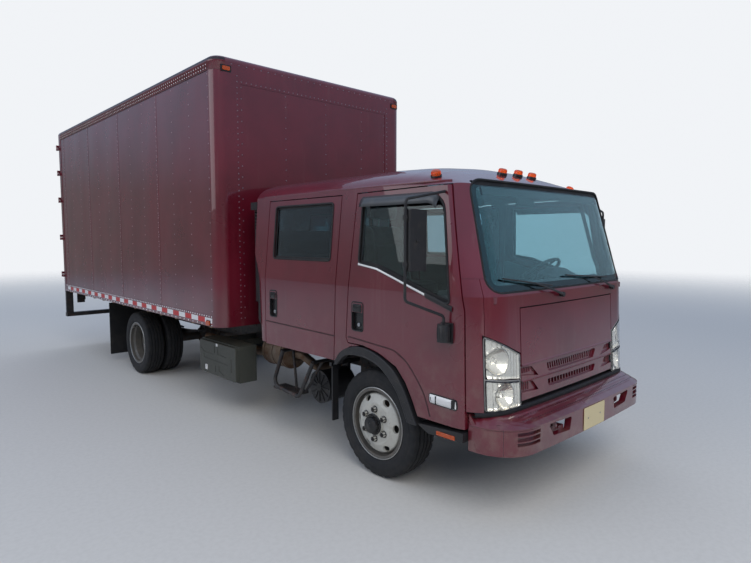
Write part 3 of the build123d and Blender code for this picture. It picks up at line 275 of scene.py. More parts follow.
def grained_plastic(name, colour, roughness, fade=0.12):
    """Moulded plastic with a fine grain, sun-faded in patches."""
    finish = Finish(name, colour, roughness)
    finish.stain((0.14, 0.14, 0.145), (5.0, 5.0), 0.4, 0.8, fade)
    finish.stain(ROAD_DUST, (18.0, 6.0), 0.5, 0.85, 0.10)
    finish.rough(finish.noise(40.0, 3.0), roughness - 0.08, roughness + 0.12)
    finish.bump(finish.cells(900.0), 0.00012)
    return finish.done()


def rubber_finish(name, colour, roughness):
    finish = Finish(name, colour, roughness)
    finish.stain(ROAD_DUST, (9.0, 8.0, 0.7), 0.4, 0.85, 0.10)
    finish.rough(finish.noise(25.0, 4.0), roughness - 0.1, min(roughness + 0.1, 1.0))
    finish.bump(finish.noise(260.0, 3.0), 0.0002)
    return finish.done()


def wheel_finish(name, station):
    """Cream enamel on a disc; the recessed rim barrel outside it is darkened as painted shade, with some
    brake dust.
    """
    finish = Finish(name, (0.50, 0.49, 0.44), 0.42, Coat_Weight=0.3, Coat_Roughness=0.2)
    along = finish.math("SUBTRACT", finish.axis("Y"), at(station))
    up = finish.math("SUBTRACT", finish.axis("Z"), WHEEL_HEIGHT)
    squares = finish.math("ADD", finish.math("MULTIPLY", along, along), finish.math("MULTIPLY", up, up))
    radius = finish.math("POWER", squares, 0.5)
    # Painted shade: the recessed barrel outside the disc goes almost black, with some brake dust in it
    finish.over((0.040, 0.034, 0.030), finish.band(radius, 0.214, 0.226), 0.9)
    finish.stain((0.20, 0.165, 0.125), (13.0, 8.0, 0.7), 0.46, 0.78, 0.5)
    finish.stain((0.13, 0.055, 0.03), (60.0, 6.0, 0.7), 0.62, 0.70, 0.5)
    finish.rough(finish.noise(20.0, 5.0), 0.34, 0.62)
    finish.bump(finish.noise(150.0, 4.0), 0.0002)
    return finish.done()


def weave_finish():
    """Grey seat cloth with a fine woven rib."""
    finish = Finish("seat_cloth", (0.105, 0.105, 0.115), 0.92, Sheen_Weight=0.35, Sheen_Roughness=0.5)
    rib = finish.cells(420.0, (1.0, 1.0, 0.5))
    finish.over((0.055, 0.055, 0.062), finish.band(rib, 0.25, 0.6))
    finish.stain((0.16, 0.15, 0.14), (8.0, 5.0), 0.45, 0.8, 0.35)
    finish.bump(rib, 0.0006)
    finish.bump(finish.noise(14.0, 3.0), 0.002)
    return finish.done()


def board_finish():
    """Worn laminated floor boards, running lengthwise."""
    finish = Finish("floor_boards", (0.33, 0.215, 0.115), 0.65)
    grain = finish.noise(3.0, 8.0, 0.65, (22.0, 0.9, 8.0))
    finish.over((0.19, 0.115, 0.06), finish.band(grain, 0.38, 0.68))
    finish.stain((0.12, 0.10, 0.085), (4.0, 6.0), 0.5, 0.8, 0.55)
    finish.rough(grain, 0.5, 0.85)
    finish.bump(grain, 0.0012)
    return finish.done()


def exhaust_finish():
    finish = Finish("exhaust_steel", (0.20, 0.145, 0.105), 0.45, 0.85)
    finish.stain((0.13, 0.060, 0.030), (10.0, 8.0, 0.7), 0.42, 0.72)
    finish.stain((0.30, 0.27, 0.23), (4.0, 5.0), 0.55, 0.8, 0.5)
    finish.rough(finish.noise(20.0, 6.0), 0.35, 0.75)
    finish.bump(finish.noise(160.0, 5.0), 0.0004)
    return finish.done()


def glass_finish(name, tint, roughness=0.02, index=1.45, sheen=(1.0, 1.0, 1.0)):
    """Tinted glass, with a little dust."""
    finish = Finish(
        name, tint, roughness, Transmission_Weight=1.0, IOR=index, Specular_Tint=(*sheen, 1.0),
    )
    finish.rough(finish.band(finish.noise(5.0, 6.0, 0.65), 0.5, 0.85), 0.0, 0.09)
    return finish.done()


def plain_metal(name, colour, roughness, scratch=0.0002):
    finish = Finish(name, colour, roughness, 1.0)
    finish.stain([c * 0.7 for c in colour], (30.0, 5.0), 0.5, 0.8, 0.5)
    finish.rough(finish.noise(55.0, 4.0), max(roughness - 0.06, 0.02), roughness + 0.12)
    finish.bump(finish.noise(300.0, 3.0), scratch)
    return finish.done()


# Lamp lenses. The emission gives each lens a faint painted glow of its own, as if lit; the amber sill
# reflectors take it too
def lens_finish(name, colour):
    finish = Finish(
        name, colour, 0.12, Transmission_Weight=0.75, IOR=1.49, Coat_Weight=0.5,
        Emission_Strength=0.12, Emission_Color=(*colour, 1.0),
    )
    finish.bump(finish.cells(260.0), 0.0008)
    finish.rough(finish.noise(20.0, 4.0), 0.08, 0.22)
    return finish.done()


FINISHES = {
    "paint": paint_finish("burgundy_enamel", 0.0030, 1.9, 0.32),
    "sheet": paint_finish("burgundy_sheet", 0.0260, 1.70, 0.22, 0.45),
    # Rivet heads lighter than the panel are a painted glint; the bright rivets are a stronger painted glint
    "rivet": plain_metal("rivets_painted_glint", (0.40, 0.28, 0.30), 0.30),
    "bright_rivet": plain_metal("bright_rivets_painted_glint", (0.86, 0.80, 0.79), 0.26),
    "crease": metal_paint("swage_shadow", (0.046, 0.0050, 0.0095), 0.34, dust=0.08),
    "rim": plain_metal("rim_steel", (0.50, 0.50, 0.48), 0.30),
    "cover": grained_plastic("faded_cover", (0.050, 0.052, 0.043), 0.55, 0.10),
    "chassis": metal_paint("chassis_black", (0.018, 0.018, 0.020), 0.52, rust=0.35),
    "rail": metal_paint("dark_rail", (0.030, 0.016, 0.022), 0.36, rust=0.12, dust=0.12),
    "iron": metal_paint("driveline_iron", (0.062, 0.056, 0.052), 0.62, rust=0.75, dust=0.35),
    "exhaust": exhaust_finish(),
    "tyre": rubber_finish("tyre_rubber", (0.0125, 0.0130, 0.0145), 0.80),
    "rubber": rubber_finish("seal_rubber", (0.010, 0.010, 0.011), 0.62),
    "cream": wheel_finish("front_wheel_cream", FRONT_AXLE),
    "rear_cream": wheel_finish("rear_wheel_cream", REAR_AXLE),
    "plastic": grained_plastic("black_plastic", (0.0125, 0.0125, 0.0140), 0.42, 0.05),
    "trim_gloss": grained_plastic("gloss_black", (0.009, 0.009, 0.010), 0.20, 0.03),
    "grey_plastic": grained_plastic("interior_grey", (0.115, 0.118, 0.124), 0.60, 0.10),
    "headlining": grained_plastic("headlining", (0.36, 0.355, 0.34), 0.9, 0.0),
    "cloth": weave_finish(),
    "boards": board_finish(),
    "pane": glass_finish("tinted_glass", (0.43, 0.57, 0.58)),
    "rear_pane": glass_finish("dark_tinted_glass", (0.27, 0.38, 0.45)),
    # The windscreen's blue specular tint colours its reflections sky-blue: a painted reflection
    "screen": glass_finish("windscreen_glass", (0.41, 0.67, 0.77), index=1.80, sheen=(0.55, 0.96, 1.0)),
    "lens": glass_finish("clear_lens", (0.97, 0.975, 0.97), 0.0),
    "reflector": plain_metal("lamp_reflector", (0.80, 0.78, 0.72), 0.14),
    "bezel": metal_paint("grey_bezel", (0.30, 0.30, 0.295), 0.35, dust=0.10),
    "steel": plain_metal("zinc_steel", (0.42, 0.42, 0.43), 0.38),
    "dark_steel": plain_metal("dark_steel", (0.085, 0.08, 0.078), 0.45),
    "mirror": plain_metal("mirror_glass", (0.86, 0.88, 0.88), 0.01, 0.0),
    "amber": lens_finish("amber_lens", (0.90, 0.135, 0.012)),
    "red": lens_finish("red_lens", (0.60, 0.012, 0.010)),
    "white_tape": Finish("white_tape", (0.70, 0.70, 0.70), 0.35).done(),
    "red_tape": Finish("red_tape", (0.46, 0.02, 0.02), 0.35).done(),
    "plate": Finish("blank_plate", (0.62, 0.52, 0.30), 0.4).done(),
    "visor": grained_plastic("smoked_visor", (0.055, 0.060, 0.066), 0.16, 0.0),
    "bright_trim": Finish("bright_moulding", (0.78, 0.78, 0.76), 0.22, 0.35).done(),
}

NODE_FINISH = {
    "paint": (
        "cab_front", "cab_roof", "cab_back_wall", "cab_pillars", "hood", "front_bumper",
        "left_front_door", "right_front_door", "left_rear_door", "right_rear_door",
    ),
    "sheet": (
        "box_sides", "box_front_wall", "box_roof", "box_rear_frame", "left_cargo_door",
        "right_cargo_door",
    ),
    "chassis": (
        "frame", "leaf_springs", "fuel_tank", "step_frames", "cab_floor", "underride_guard",
    ),
    "iron": (
        "front_axle", "rear_axle", "driveshaft", "engine", "left_knuckle", "right_knuckle",
        "tie_rod",
    ),
    "exhaust": ("exhaust",),
    "cover": ("battery_box",),
    "plastic": ("air_intake", "left_mirror", "right_mirror", "cab_trim"),
    "cream": ("left_front_wheel", "right_front_wheel"),
    "rear_cream": ("left_rear_wheels", "right_rear_wheels"),
    "grey_plastic": ("dashboard",),
    "boards": ("box_floor",),
    "rubber": ("mud_flaps",),
    "pane": ("left_front_glass", "right_front_glass"),
    "rear_pane": ("left_rear_glass", "right_rear_glass"),
    "screen": ("windshield",),
    "amber": ("lamps",),
    "tyre": ("left_front_tyre", "right_front_tyre", "left_rear_tyres", "right_rear_tyres"),
    "lens": ("headlamps",),
    "cloth": ("seats",),
    "trim_gloss": ("steering_wheel",),
}

for finish_name, node_names in NODE_FINISH.items():
    for node_name in node_names:
        materials = NODES[node_name].data.materials
        materials.clear()
        materials.append(FINISHES[finish_name])


# Shape building

def between(low, high, count):
    """Evenly spaced values from low to high, with count gaps."""
    return [low + (high - low) * step / count for step in range(count + 1)]


def circle(steps, start=0.0):
    """The cosine and sine of each of a circle's steps, from a start in degrees."""
    angles = [2 * pi * step / steps + radians(start) for step in range(steps)]
    return [(cos(angle), sin(angle)) for angle in angles]


def crosswise(axis):
    """Two unit vectors square to a unit vector and to each other."""
    first = axis.orthogonal().normalized()
    return first, axis.cross(first)


class Shape:
    """Points and faces of one piece, gathered before its mesh is made."""

    def __init__(self):
        self.points = []
        self.faces = []
        self.slots = []

    def add(self, points, faces, slot=0):
        base = len(self.points)
        self.points.extend(Vector(p) for p in points)
        for face in faces:
            self.faces.append([base + index for index in face])
            self.slots.append(slot)
        return self

    def box(self, x, y, z, slot=0):
        """A box between two X, in either order, two Y and two Z."""
        x = sorted(x)
        corners = [(x[i & 1], y[i >> 1 & 1], z[i >> 2]) for i in range(8)]
        faces = ((0, 2, 3, 1), (4, 5, 7, 6), (0, 1, 5, 4), (2, 6, 7, 3), (0, 4, 6, 2), (1, 3, 7, 5))
        return self.add(corners, faces, slot)

    def skin(self, rows, slot=0, around=False, ends=False, along=False):
        """Quads between rows of points. around closes each row, along the whole run."""
        count = len(rows[0])
        faces = []
        for row in range(len(rows) if along else len(rows) - 1):
            below, above = row * count, (row + 1) % len(rows) * count
            for step in range(count if around else count - 1):
                following = (step + 1) % count
                faces.append((below + step, below + following, above + following, above + step))
        if ends:
            faces.append(tuple(range(count))[::-1])
            faces.append(tuple(range((len(rows) - 1) * count, len(rows) * count)))
        return self.add([p for row in rows for p in row], faces, slot)

    def layers(self, outline, place, steps, slot=0, ends=True):
        """Skin between copies of an outline, each at an inset and a height for place()."""
        rows = [placed(place(height), inset_outline(outline, inset)) for inset, height in steps]
        return self.skin(rows, slot, around=True, ends=ends)

    def turned(self, profile, centre, axis, steps=48, slot=0):
        """Revolve (along the axis, radius) pairs about an axis through centre."""
        axis = Vector(axis).normalized()
        first, second = crosswise(axis)
        rows = [
            [Vector(centre) + axis * along + (first * c + second * s) * radius for c, s in circle(steps)]
            for along, radius in profile
        ]
        return self.skin(rows, slot, around=True)

    def tube(self, points, radius, steps=10, slot=0, closed=False):
        """A round tube through points, its section carried along without twist."""
        points = [Vector(p) for p in points]
        last = len(points) - 1
        rows = []
        side = None
        for index, point in enumerate(points):
            if closed:
                heading = points[(index + 1) % (last + 1)] - points[index - 1]
            else:
                heading = points[min(index + 1, last)] - points[max(index - 1, 0)]
            heading.normalize()
            if side is None:
                side = heading.orthogonal().normalized()
            side = (side - heading * side.dot(heading)).normalized()
            other = heading.cross(side)
            width = radius(index / last) if callable(radius) else radius
            rows.append([point + (side * c + other * s) * width for c, s in circle(steps)])
        return self.skin(rows, slot, around=True, along=closed, ends=not closed)

    def dome(self, centre, normal, radius, height, steps=8, slot=0):
        """A low rounded head, such as a rivet's."""
        normal = Vector(normal).normalized()
        side, other = crosswise(normal)
        centre = Vector(centre)
        self.skin([
            [centre + normal * height * rise + (side * c + other * s) * radius * reach
             for c, s in circle(steps)]
            for reach, rise in ((1.0, -0.2), (0.92, 0.45), (0.55, 0.88))
        ], slot, around=True)
        fan = [(step - steps, (step + 1) % steps - steps, 0) for step in range(steps)]
        return self.add([centre + normal * height], fan, slot)

    def slab(self, outline, depth, place, slot=0):
        """A flat outline given thickness: place(u, v, w) turns its points into the frame."""
        rows = [[place(u, v, w) for u, v in outline] for w in (0.0, depth)]
        return self.skin(rows, slot, around=True, ends=True)

    def mesh(self, name):
        """The gathered faces as a mesh, all facing outwards."""
        mesh = bpy.data.meshes.new(name)
        mesh.from_pydata([tuple(p) for p in self.points], [], self.faces)
        for face, slot in zip(mesh.polygons, self.slots):
            face.material_index = slot
        work = bmesh.new()
        work.from_mesh(mesh)
        bmesh.ops.recalc_face_normals(work, faces=work.faces)
        work.to_mesh(mesh)
        work.free()
        return mesh

    def make(self, name, body, finishes, smooth=35, bevel=0.0, replaces=()):
        """Make the piece and let it ride on a body."""
        mesh = self.mesh(name)
        finishes = [finishes] if isinstance(finishes, str) else finishes
        for finish in finishes:
            mesh.materials.append(FINISHES[finish])
        mesh.shade_smooth()
        mesh.set_sharp_from_angle(angle=radians(smooth))
        piece = bpy.data.objects.new(name, mesh)
        bpy.context.scene.collection.objects.link(piece)
        if bevel:
            rounding = piece.modifiers.new("rounding", "BEVEL")
            rounding.width = bevel
            rounding.segments = 2
            rounding.limit_method = "ANGLE"
            rounding.angle_limit = radians(32)
            rounding.harden_normals = True
        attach(piece, body)
        if replaces:
            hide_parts(*replaces)
        return piece


def thicken(piece, thickness, offset=-1.0):
    thick = piece.modifiers.new("thickness", "SOLIDIFY")
    thick.thickness = thickness
    thick.offset = offset


def rounded(outline, radius, steps=5):
    """A closed outline with its corners rounded."""
    points = []
    for index, point in enumerate(outline):
        before, corner = Vector(outline[index - 1]), Vector(point)
        after = Vector(outline[(index + 1) % len(outline)])
        into = (before - corner).normalized()
        out = (after - corner).normalized()
        reach = min(
            radius / max(0.05, abs(tan(into.angle(out) / 2))),
            (before - corner).length * 0.48, (after - corner).length * 0.48,
        )
        start, end = corner + into * reach, corner + out * reach
        points.extend(
            tuple(start * (1 - share) ** 2 + corner * 2 * share * (1 - share) + end * share ** 2)
            for share in between(0.0, 1.0, steps)
        )
    return points


def oblong(left, right, low, high):
    return [(left, low), (right, low), (right, high), (left, high)]


def dense(outline, gap):
    """A closed outline with points added so that none are further apart than a gap."""
    points = []
    for index, point in enumerate(outline):
        a, b = Vector(point), Vector(outline[(index + 1) % len(outline)])
        parts = max(1, ceil((b - a).length / gap))
        points.extend(tuple(a.lerp(b, step / parts)) for step in range(parts))
    return points


def inset_outline(outline, amount):
    """A closed outline with each point moved inwards along its own normal."""
    points = [Vector(p) for p in outline]
    centre = sum(points, Vector((0.0, 0.0))) / len(points)
    moved = []
    for index, point in enumerate(points):
        heading = points[(index + 1) % len(points)] - points[index - 1]
        normal = Vector((-heading.y, heading.x)).normalized()
        if normal.dot(centre - point) < 0:
            normal.negate()
        moved.append(tuple(point + normal * amount))
    return moved


def eased(points, steps=6):
    """A smooth open line through points."""
    points = [Vector(p) for p in points]
    line = []
    for index in range(len(points) - 1):
        a = points[max(index - 1, 0)]
        b, c = points[index], points[index + 1]
        d = points[min(index + 2, len(points) - 1)]
        for step in range(steps):
            t = step / steps
            line.append(
                0.5 * ((2 * b) + (c - a) * t + (2 * a - 5 * b + 4 * c - d) * t * t
                       + (3 * b - a - 3 * c + d) * t ** 3)
            )
    line.append(points[-1])
    return line


# Tyres and wheels

# Half of a tyre's section from bead to shoulder: (distance from the middle, radius)
TYRE_PROFILE = [
    (0.0865, 0.2504), (0.0885, 0.2600), (0.0900, 0.2690), (0.0950, 0.2740), (0.1025, 0.2800),
    (0.1060, 0.2880), (0.1062, 0.2920), (0.1088, 0.2950), (0.1105, 0.3020), (0.1127, 0.3180),
    (0.1130, 0.3260), (0.1128, 0.3400), (0.1122, 0.3440), (0.1108, 0.3460), (0.1100, 0.3560),
    (0.1085, 0.3680), (0.1055, 0.3790), (0.1020, 0.3880), (0.0975, 0.3948), (0.0905, 0.3990),
]
TYRE_INSIDE = [
    (0.070, 0.262), (0.086, 0.300), (0.084, 0.370), (0.0, 0.378), (-0.084, 0.370),
    (-0.086, 0.300), (-0.070, 0.262),
]
GROOVES = ((0.0530, 0.0635), (0.0120, 0.0225))
GROOVE_DEPTH = 0.0125
LUG_DEPTH = 0.0075
ZIGZAG = 0.0016
BOLT_CIRCLE = 0.111125
RIM_EDGE = 0.2665


def tyre_ring(shape, x, station, steps=132):
    """One tyre with four circumferential grooves and cut shoulder lugs."""
    half = list(TYRE_PROFILE)
    for near, far in GROOVES:
        crown_far, crown_near = (TYRE_RADIUS - 0.896 * across ** 2 for across in (far, near))
        half += [
            (far + 0.0165, TYRE_RADIUS - 0.896 * (far + 0.0165) ** 2), (far + 0.0008, crown_far),
            (far - 0.0014, crown_far - GROOVE_DEPTH), (near + 0.0014, crown_near - GROOVE_DEPTH),
            (near - 0.0008, crown_near),
        ]
    section = [(-a, r) for a, r in half] + [(0.0, TYRE_RADIUS)] + [(a, r) for a, r in reversed(half)]
    section += TYRE_INSIDE
    rows = []
    for step, (c, s) in enumerate(circle(steps)):
        ring = []
        for across, radius in section:
            reach = abs(across)
            if step % 4 == 0 and 0.084 < reach < 0.1025 and radius > 0.385:
                radius -= LUG_DEPTH
            if reach < 0.075 and radius > 0.39:
                across += ZIGZAG if step % 6 < 3 else -ZIGZAG
            ring.append((x + across, at(station) + radius * s, WHEEL_HEIGHT - radius * c))
        rows.append(ring)
    shape.skin(rows, around=True, along=True)


def wheel_point(side, x, station, radius=0.0, turn=0.0):
    """A point of a wheel at an X, a radius and a turn from the top, in degrees."""
    turn = radians(turn)
    return Vector((side * x, at(station) + radius * sin(turn), WHEEL_HEIGHT + radius * cos(turn)))


def wheel_nut(shape, base, side):
    """A flanged wheel nut with its stud's end."""
    axis = (side, 0, 0)
    shape.turned(((0.0, 0.02624), (0.003, 0.02624), (0.006, 0.021525)), base, axis, 20, 1)
    shape.turned(
        ((0.002, 0.0205), (0.0255, 0.0205), (0.0285, 0.01763), (0.0285, 0.01025), (0.0355, 0.00943),
         (0.0375, 0.00615), (0.0375, 0.0005)),
        base, axis, 6, 1,
    )


WHEELS = (
    # place, axle station, wheel's X, disc's X, hub cap's X, hub cap's reach
    ("front", FRONT_AXLE, FRONT_WHEEL_X, 0.9445, 0.9575, 0.034),
    ("rear", REAR_AXLE, REAR_OUTER_X, 0.837, 0.885, 0.052),
)

for hand, side in SIDES:
    front_tyre = Shape()
    tyre_ring(front_tyre, side * FRONT_WHEEL_X, FRONT_AXLE)
    front_tyre.make(f"{hand}_front_tyre_tread", f"{hand}_front_hub", "tyre", replaces=[f"{hand}_front_tyre"])
    rear_tyres = Shape()
    tyre_ring(rear_tyres, side * REAR_OUTER_X, REAR_AXLE)
    tyre_ring(rear_tyres, side * REAR_INNER_X, REAR_AXLE)
    rear_tyres.make(f"{hand}_rear_tyre_treads", f"{hand}_rear_hub", "tyre", replaces=[f"{hand}_rear_tyres"])

    for place, station, wheel_x, disc_x, cap_x, reach in WHEELS:
        hub = f"{hand}_{place}_hub"
        fittings = Shape()
        for turn in range(0, 360, 60):
            wheel_nut(fittings, wheel_point(side, disc_x, station, BOLT_CIRCLE, turn), side)
        fittings.turned(
            ((-0.004, 0.0795), (0.006, 0.0795), (0.009, 0.074), (0.010, 0.066), (reach, 0.0635),
             (reach + 0.008, 0.058), (reach + 0.011, 0.046), (reach + 0.011, 0.020),
             (reach + 0.014, 0.016), (reach + 0.014, 0.0005)),
            wheel_point(side, cap_x, station), (side, 0, 0),
        )
        for turn in range(22, 382, 45):
            fittings.turned(
                ((0.0, 0.0065), (0.005, 0.0065), (0.006, 0.0045), (0.006, 0.0005)),
                wheel_point(side, cap_x + 0.0095, station, 0.0705, turn), (side, 0, 0), 6, 1,
            )
        fittings.make(f"{hand}_{place}_hub_fittings", hub, ["trim_gloss", "dark_steel"], smooth=40)

        edge = Shape()
        rim = [wheel_point(side, wheel_x + 0.0965, station, RIM_EDGE, turn) for turn in range(0, 360, 5)]
        edge.tube(rim, 0.0042, 8, closed=True)
        foot = wheel_point(side, wheel_x + 0.058, station, 0.226, 28)
        bends = ((0.0, 0.0), (0.030, -0.006), (0.060, -0.016))
        edge.tube([foot + Vector((side * out, 0.0, drop)) for out, drop in bends], 0.0042, 8)
        edge.make(f"{hand}_{place}_rim_edge", hub, "rim")


# Glazing seals, black borders and wipers

FRONT_WINDOW = [(1.308, 2.050), (1.321, 1.597), (1.120, 1.570), (0.450, 1.357), (0.545, 2.055)]
REAR_WINDOW = [(1.650, 1.600), (1.640, 2.050), (2.440, 2.050), (2.450, 1.600)]
WINDSCREEN = [(-0.912, 1.440), (0.912, 1.440), (0.868, 2.150), (-0.868, 2.150)]
ARC = 6  # points of one rounded corner


def border(shape, outline, surface, width):
    """A strip of a width on a surface, inside an outline."""
    steps = [(inset, 0.0) for inset in (0.0, width / 2, width)]
    shape.layers(outline, lambda height: surface, steps, ends=False)


for hand, side in SIDES:
    for place, outline in (("front", FRONT_WINDOW), ("rear", REAR_WINDOW)):
        corner = rounded(outline, 0.035)
        path = dense(corner, 0.05)
        if place == "front":
            # The pillar's sweep fills the opening's upper front corner
            sweep = rounded(outline, 0.130)
            path = dense(corner[:-ARC] + sweep[-ARC:], 0.05)
            infill = Shape()
            for inset in (0.0005, 0.0100):
                infill.skin([placed(on_side(side, inset), arc[-ARC:]) for arc in (corner, sweep)])
            infill.make(f"{hand}_window_corner", f"{hand}_front_door_body", "paint")
        seal = Shape()
        seal.tube(placed(on_side(side, -0.0005), inset_outline(path, 0.002)), 0.0075, 8, closed=True)
        border(seal, path, on_side(side, 0.0115), 0.024)
        seal.make(f"{hand}_{place}_window_seal", f"{hand}_{place}_door_body", "rubber")

screen_path = dense(rounded(WINDSCREEN, 0.105, 8), 0.05)
gasket = Shape()
gasket.tube(placed(on_front(0.004), screen_path), 0.0075, 10, closed=True)
border(gasket, screen_path, on_front(0.0128), 0.044)
gasket.skin([
    placed(on_front(0.0135), [
        (x, 2.143 - drop - 0.9 * max(0.0, abs(x) - 0.76) ** 1.5) for x in between(-0.79, 0.79, 20)
    ])
    for drop in (0.0, 0.045, 0.090)
])
gasket.make("windscreen_gasket", "chassis", "rubber")

back_path = dense(rounded(oblong(-0.420, 0.420, 1.560, 2.010), 0.05), 0.08)
back_seal = Shape()
for station in (2.761, 2.715):
    back_seal.tube([(x, at(station), z) for x, z in back_path], 0.009, 8, closed=True)
back_seal.make("back_window_seal", "chassis", "rubber")


def wiper(name, pivot, bend, tip):
    """A wiper: pivot cap, cranked arm, and a blade with its rubber."""
    pivot, bend, tip = Vector(pivot), Vector(bend), Vector(tip)
    joint = on_front(-0.030)(*bend)
    shape = Shape()
    shape.tube([on_front(-0.006)(*pivot), on_front(-0.034)(*pivot)], 0.017, 14)
    arm = [on_front(-0.026)(*pivot), on_front(-0.040)(*pivot.lerp(bend, 0.45)), joint]
    shape.tube(arm, lambda share: 0.0095 - 0.0045 * share, 8)
    start = bend + (bend - tip) * 0.75
    blade = [start.lerp(tip, share) for share in between(0.0, 1.0, 8)]
    for lift, radius in ((0.017, 0.0055), (0.010, 0.0035)):
        shape.tube(placed(on_front(-lift), blade), radius, 6)
    shape.tube([on_front(-0.018)(*blade[2]), joint, on_front(-0.018)(*blade[6])], 0.005, 6)
    shape.make(name, "chassis", "plastic")


wiper("right_wiper", (-0.167, 1.395), (-0.50, 1.490), (-0.80, 1.530))
wiper("left_wiper", (0.635, 1.395), (0.30, 1.497), (-0.06, 1.520))


# Headlamps: clear lens over bright housings with bowls and bulbs

LAMP_INNER = 0.661
LAMP_OUTER = 0.936


def lamp_floor(x):
    return 0.719 + (x - 0.657) * 0.0141


def lamp_split(x):
    return 0.870 + (x - 0.600) * 0.130


def lamp_top(x):
    return 1.043 + (x - 0.657) * 0.4806


LAMP_UNITS = (
    # low edge, high edge, then the bowl's X, Z, radius and depth
    (lambda x: lamp_split(x) + 0.010, lamp_top, 0.842, 1.020, 0.080, 0.044),
    (lamp_floor, lambda x: lamp_split(x) - 0.004, 0.795, 0.802, 0.078, 0.052),
)


def lamp_rows(side, low, high, columns, lines, inset_at, past_x=0.0, past_z=0.0):
    """Rows of points across a lamp unit, at an inset from the cab's face."""
    rows = []
    for v in between(0.0, 1.0, lines):
        row = []
        for u in between(0.0, 1.0, columns):
            x = LAMP_INNER - past_x + (LAMP_OUTER - LAMP_INNER + 2 * past_x) * u
            z = low(x) - past_z + (high(x) - low(x) + 2 * past_z) * v
            row.append(flipped(side, on_front(inset_at(x, z, u, v))(x, z)))
        rows.append(row)
    return rows


def bowl_inset(bowl_x, bowl_z, bowl_radius, bowl_depth):
    """A function for how far a lamp's housing lies behind the cab's face."""
    def inset_at(x, z, u, v):
        reach = hypot(x - bowl_x, z - bowl_z) / bowl_radius
        depth = 0.020
        if reach < 1.0:
            depth += bowl_depth * (1.0 - reach * reach)
        elif reach < 1.10:
            depth -= 0.007 * (1.10 - reach) / 0.10
        else:
            depth += 0.004 * sin(x * 210.0)
        return 0.004 + (depth - 0.004) * min(1.0, min(u, 1 - u, v, 1 - v) / 0.05)
    return inset_at


for hand, side in SIDES:
    housing = Shape()
    lens = Shape()
    for low, high, bowl_x, bowl_z, bowl_radius, bowl_depth in LAMP_UNITS:
        bowl = bowl_inset(bowl_x, bowl_z, bowl_radius, bowl_depth)
        housing.skin(lamp_rows(side, low, high, 44, 40, bowl))
        lens.skin(lamp_rows(side, low, high, 18, 12, lambda *spot: 0.0008, 0.003, 0.002))
        housing.turned(
            ((0.0, 0.020), (0.012, 0.020), (0.014, 0.0125), (0.030, 0.0125), (0.038, 0.010),
             (0.041, 0.0045), (0.042, 0.0004)),
            flipped(side, on_front(0.020 + bowl_depth)(bowl_x, bowl_z)), (side * 0.22, -0.97, 0.0), 20, 1,
        )
        reach = bowl_radius + 0.002
        rim = [(min(bowl_x + reach * c, LAMP_OUTER - 0.004), bowl_z + reach * s) for c, s in circle(40)]
        housing.tube([flipped(side, p) for p in placed(on_front(0.014), rim)], 0.0022, 6, 3, closed=True)
    housing.make(
        f"{hand}_lamp_housing", "chassis", ["reflector", "lens", "amber", "steel"], smooth=60,
        replaces=["headlamps"],
    )
    thicken(lens.make(f"{hand}_lamp_lens", "chassis", "lens", smooth=60), 0.0030, 0.0)
    strip = Shape()
    ends = (LAMP_INNER, LAMP_OUTER)
    outline = [(x, lamp_floor(x)) for x in ends] + [(x, lamp_top(x)) for x in reversed(ends)]
    path = placed(on_front(0.006), dense(rounded(outline, 0.012), 0.03))
    strip.tube([flipped(side, p) for p in path], 0.0050, 6, closed=True)
    split = [(x, lamp_split(x) + 0.003) for x in between(*ends, 14)]
    strip.tube([flipped(side, p) for p in placed(on_front(0.004), split)], 0.0045, 6)
    strip.make(f"{hand}_lamp_frame", "chassis", "bezel")


# Hood: mesh behind the grille openings, ribs in the pockets, seal and stops

grille = Shape()
for low, high, half in ((0.872, 0.962, 0.40), (0.770, 0.848, 0.39)):
    columns = between(-half, half, 33)
    lines = between(low, high, 7)
    grille.skin([[on_front(0.052)(x, z) for x in columns] for z in lines])
    for x in columns:
        grille.tube([on_front(0.047)(x, low), on_front(0.047)(x, high)], 0.0022, 4)
    for z in lines[1:-1]:
        grille.tube([on_front(0.047)(x, z) for x in between(-half, half, 8)], 0.0022, 4)
grille.make("grille_mesh", "hood_body", "plastic")

ribs = Shape()
for side in (-1, 1):
    for x in (0.560, 0.585, 0.610):
        ribs.tube([on_front(0.013)(side * x, 0.806), on_front(0.013)(side * x, 0.858)], 0.0045, 6)
    for x in (0.535, 0.560, 0.585, 0.610):
        ribs.tube([on_front(0.016)(side * x, 0.915), on_front(0.016)(side * (x + 0.004), 0.948)], 0.0030, 6)
ribs.make("grille_pocket_ribs", "hood_body", "paint")

hood_seal = Shape()
hood_path = dense(rounded(oblong(-0.6485, 0.6485, 0.742, 1.3390), 0.01), 0.06)
hood_seal.tube(placed(on_front(0.014), hood_path), 0.0040, 6, closed=True)
hood_seal.make("hood_seal", "chassis", "rubber")

stops = Shape()
for x in (-0.524, -0.447, 0.447, 0.524):
    stops.turned(
        ((0.0, 0.012), (0.016, 0.012), (0.020, 0.009), (0.022, 0.0004)),
        (x, at(0.262), 0.712), (0, -1, 0), 16,
    )
stops.make("hood_stops", "chassis", "rubber")


# Bumper: step tread, corners and blank plate

tread = Shape()
for station in between(0.055, 0.163, 3):
    for x in between(-0.78, 0.78, 60):
        bow = 0.030 * (x / 0.99) ** 2
        tread.dome((x, at(station + bow), 0.6392 + station * 0.48), (0, -0.3, 1), 0.0042, 0.0028, 6)
tread.make("bumper_tread", "chassis", "rail")

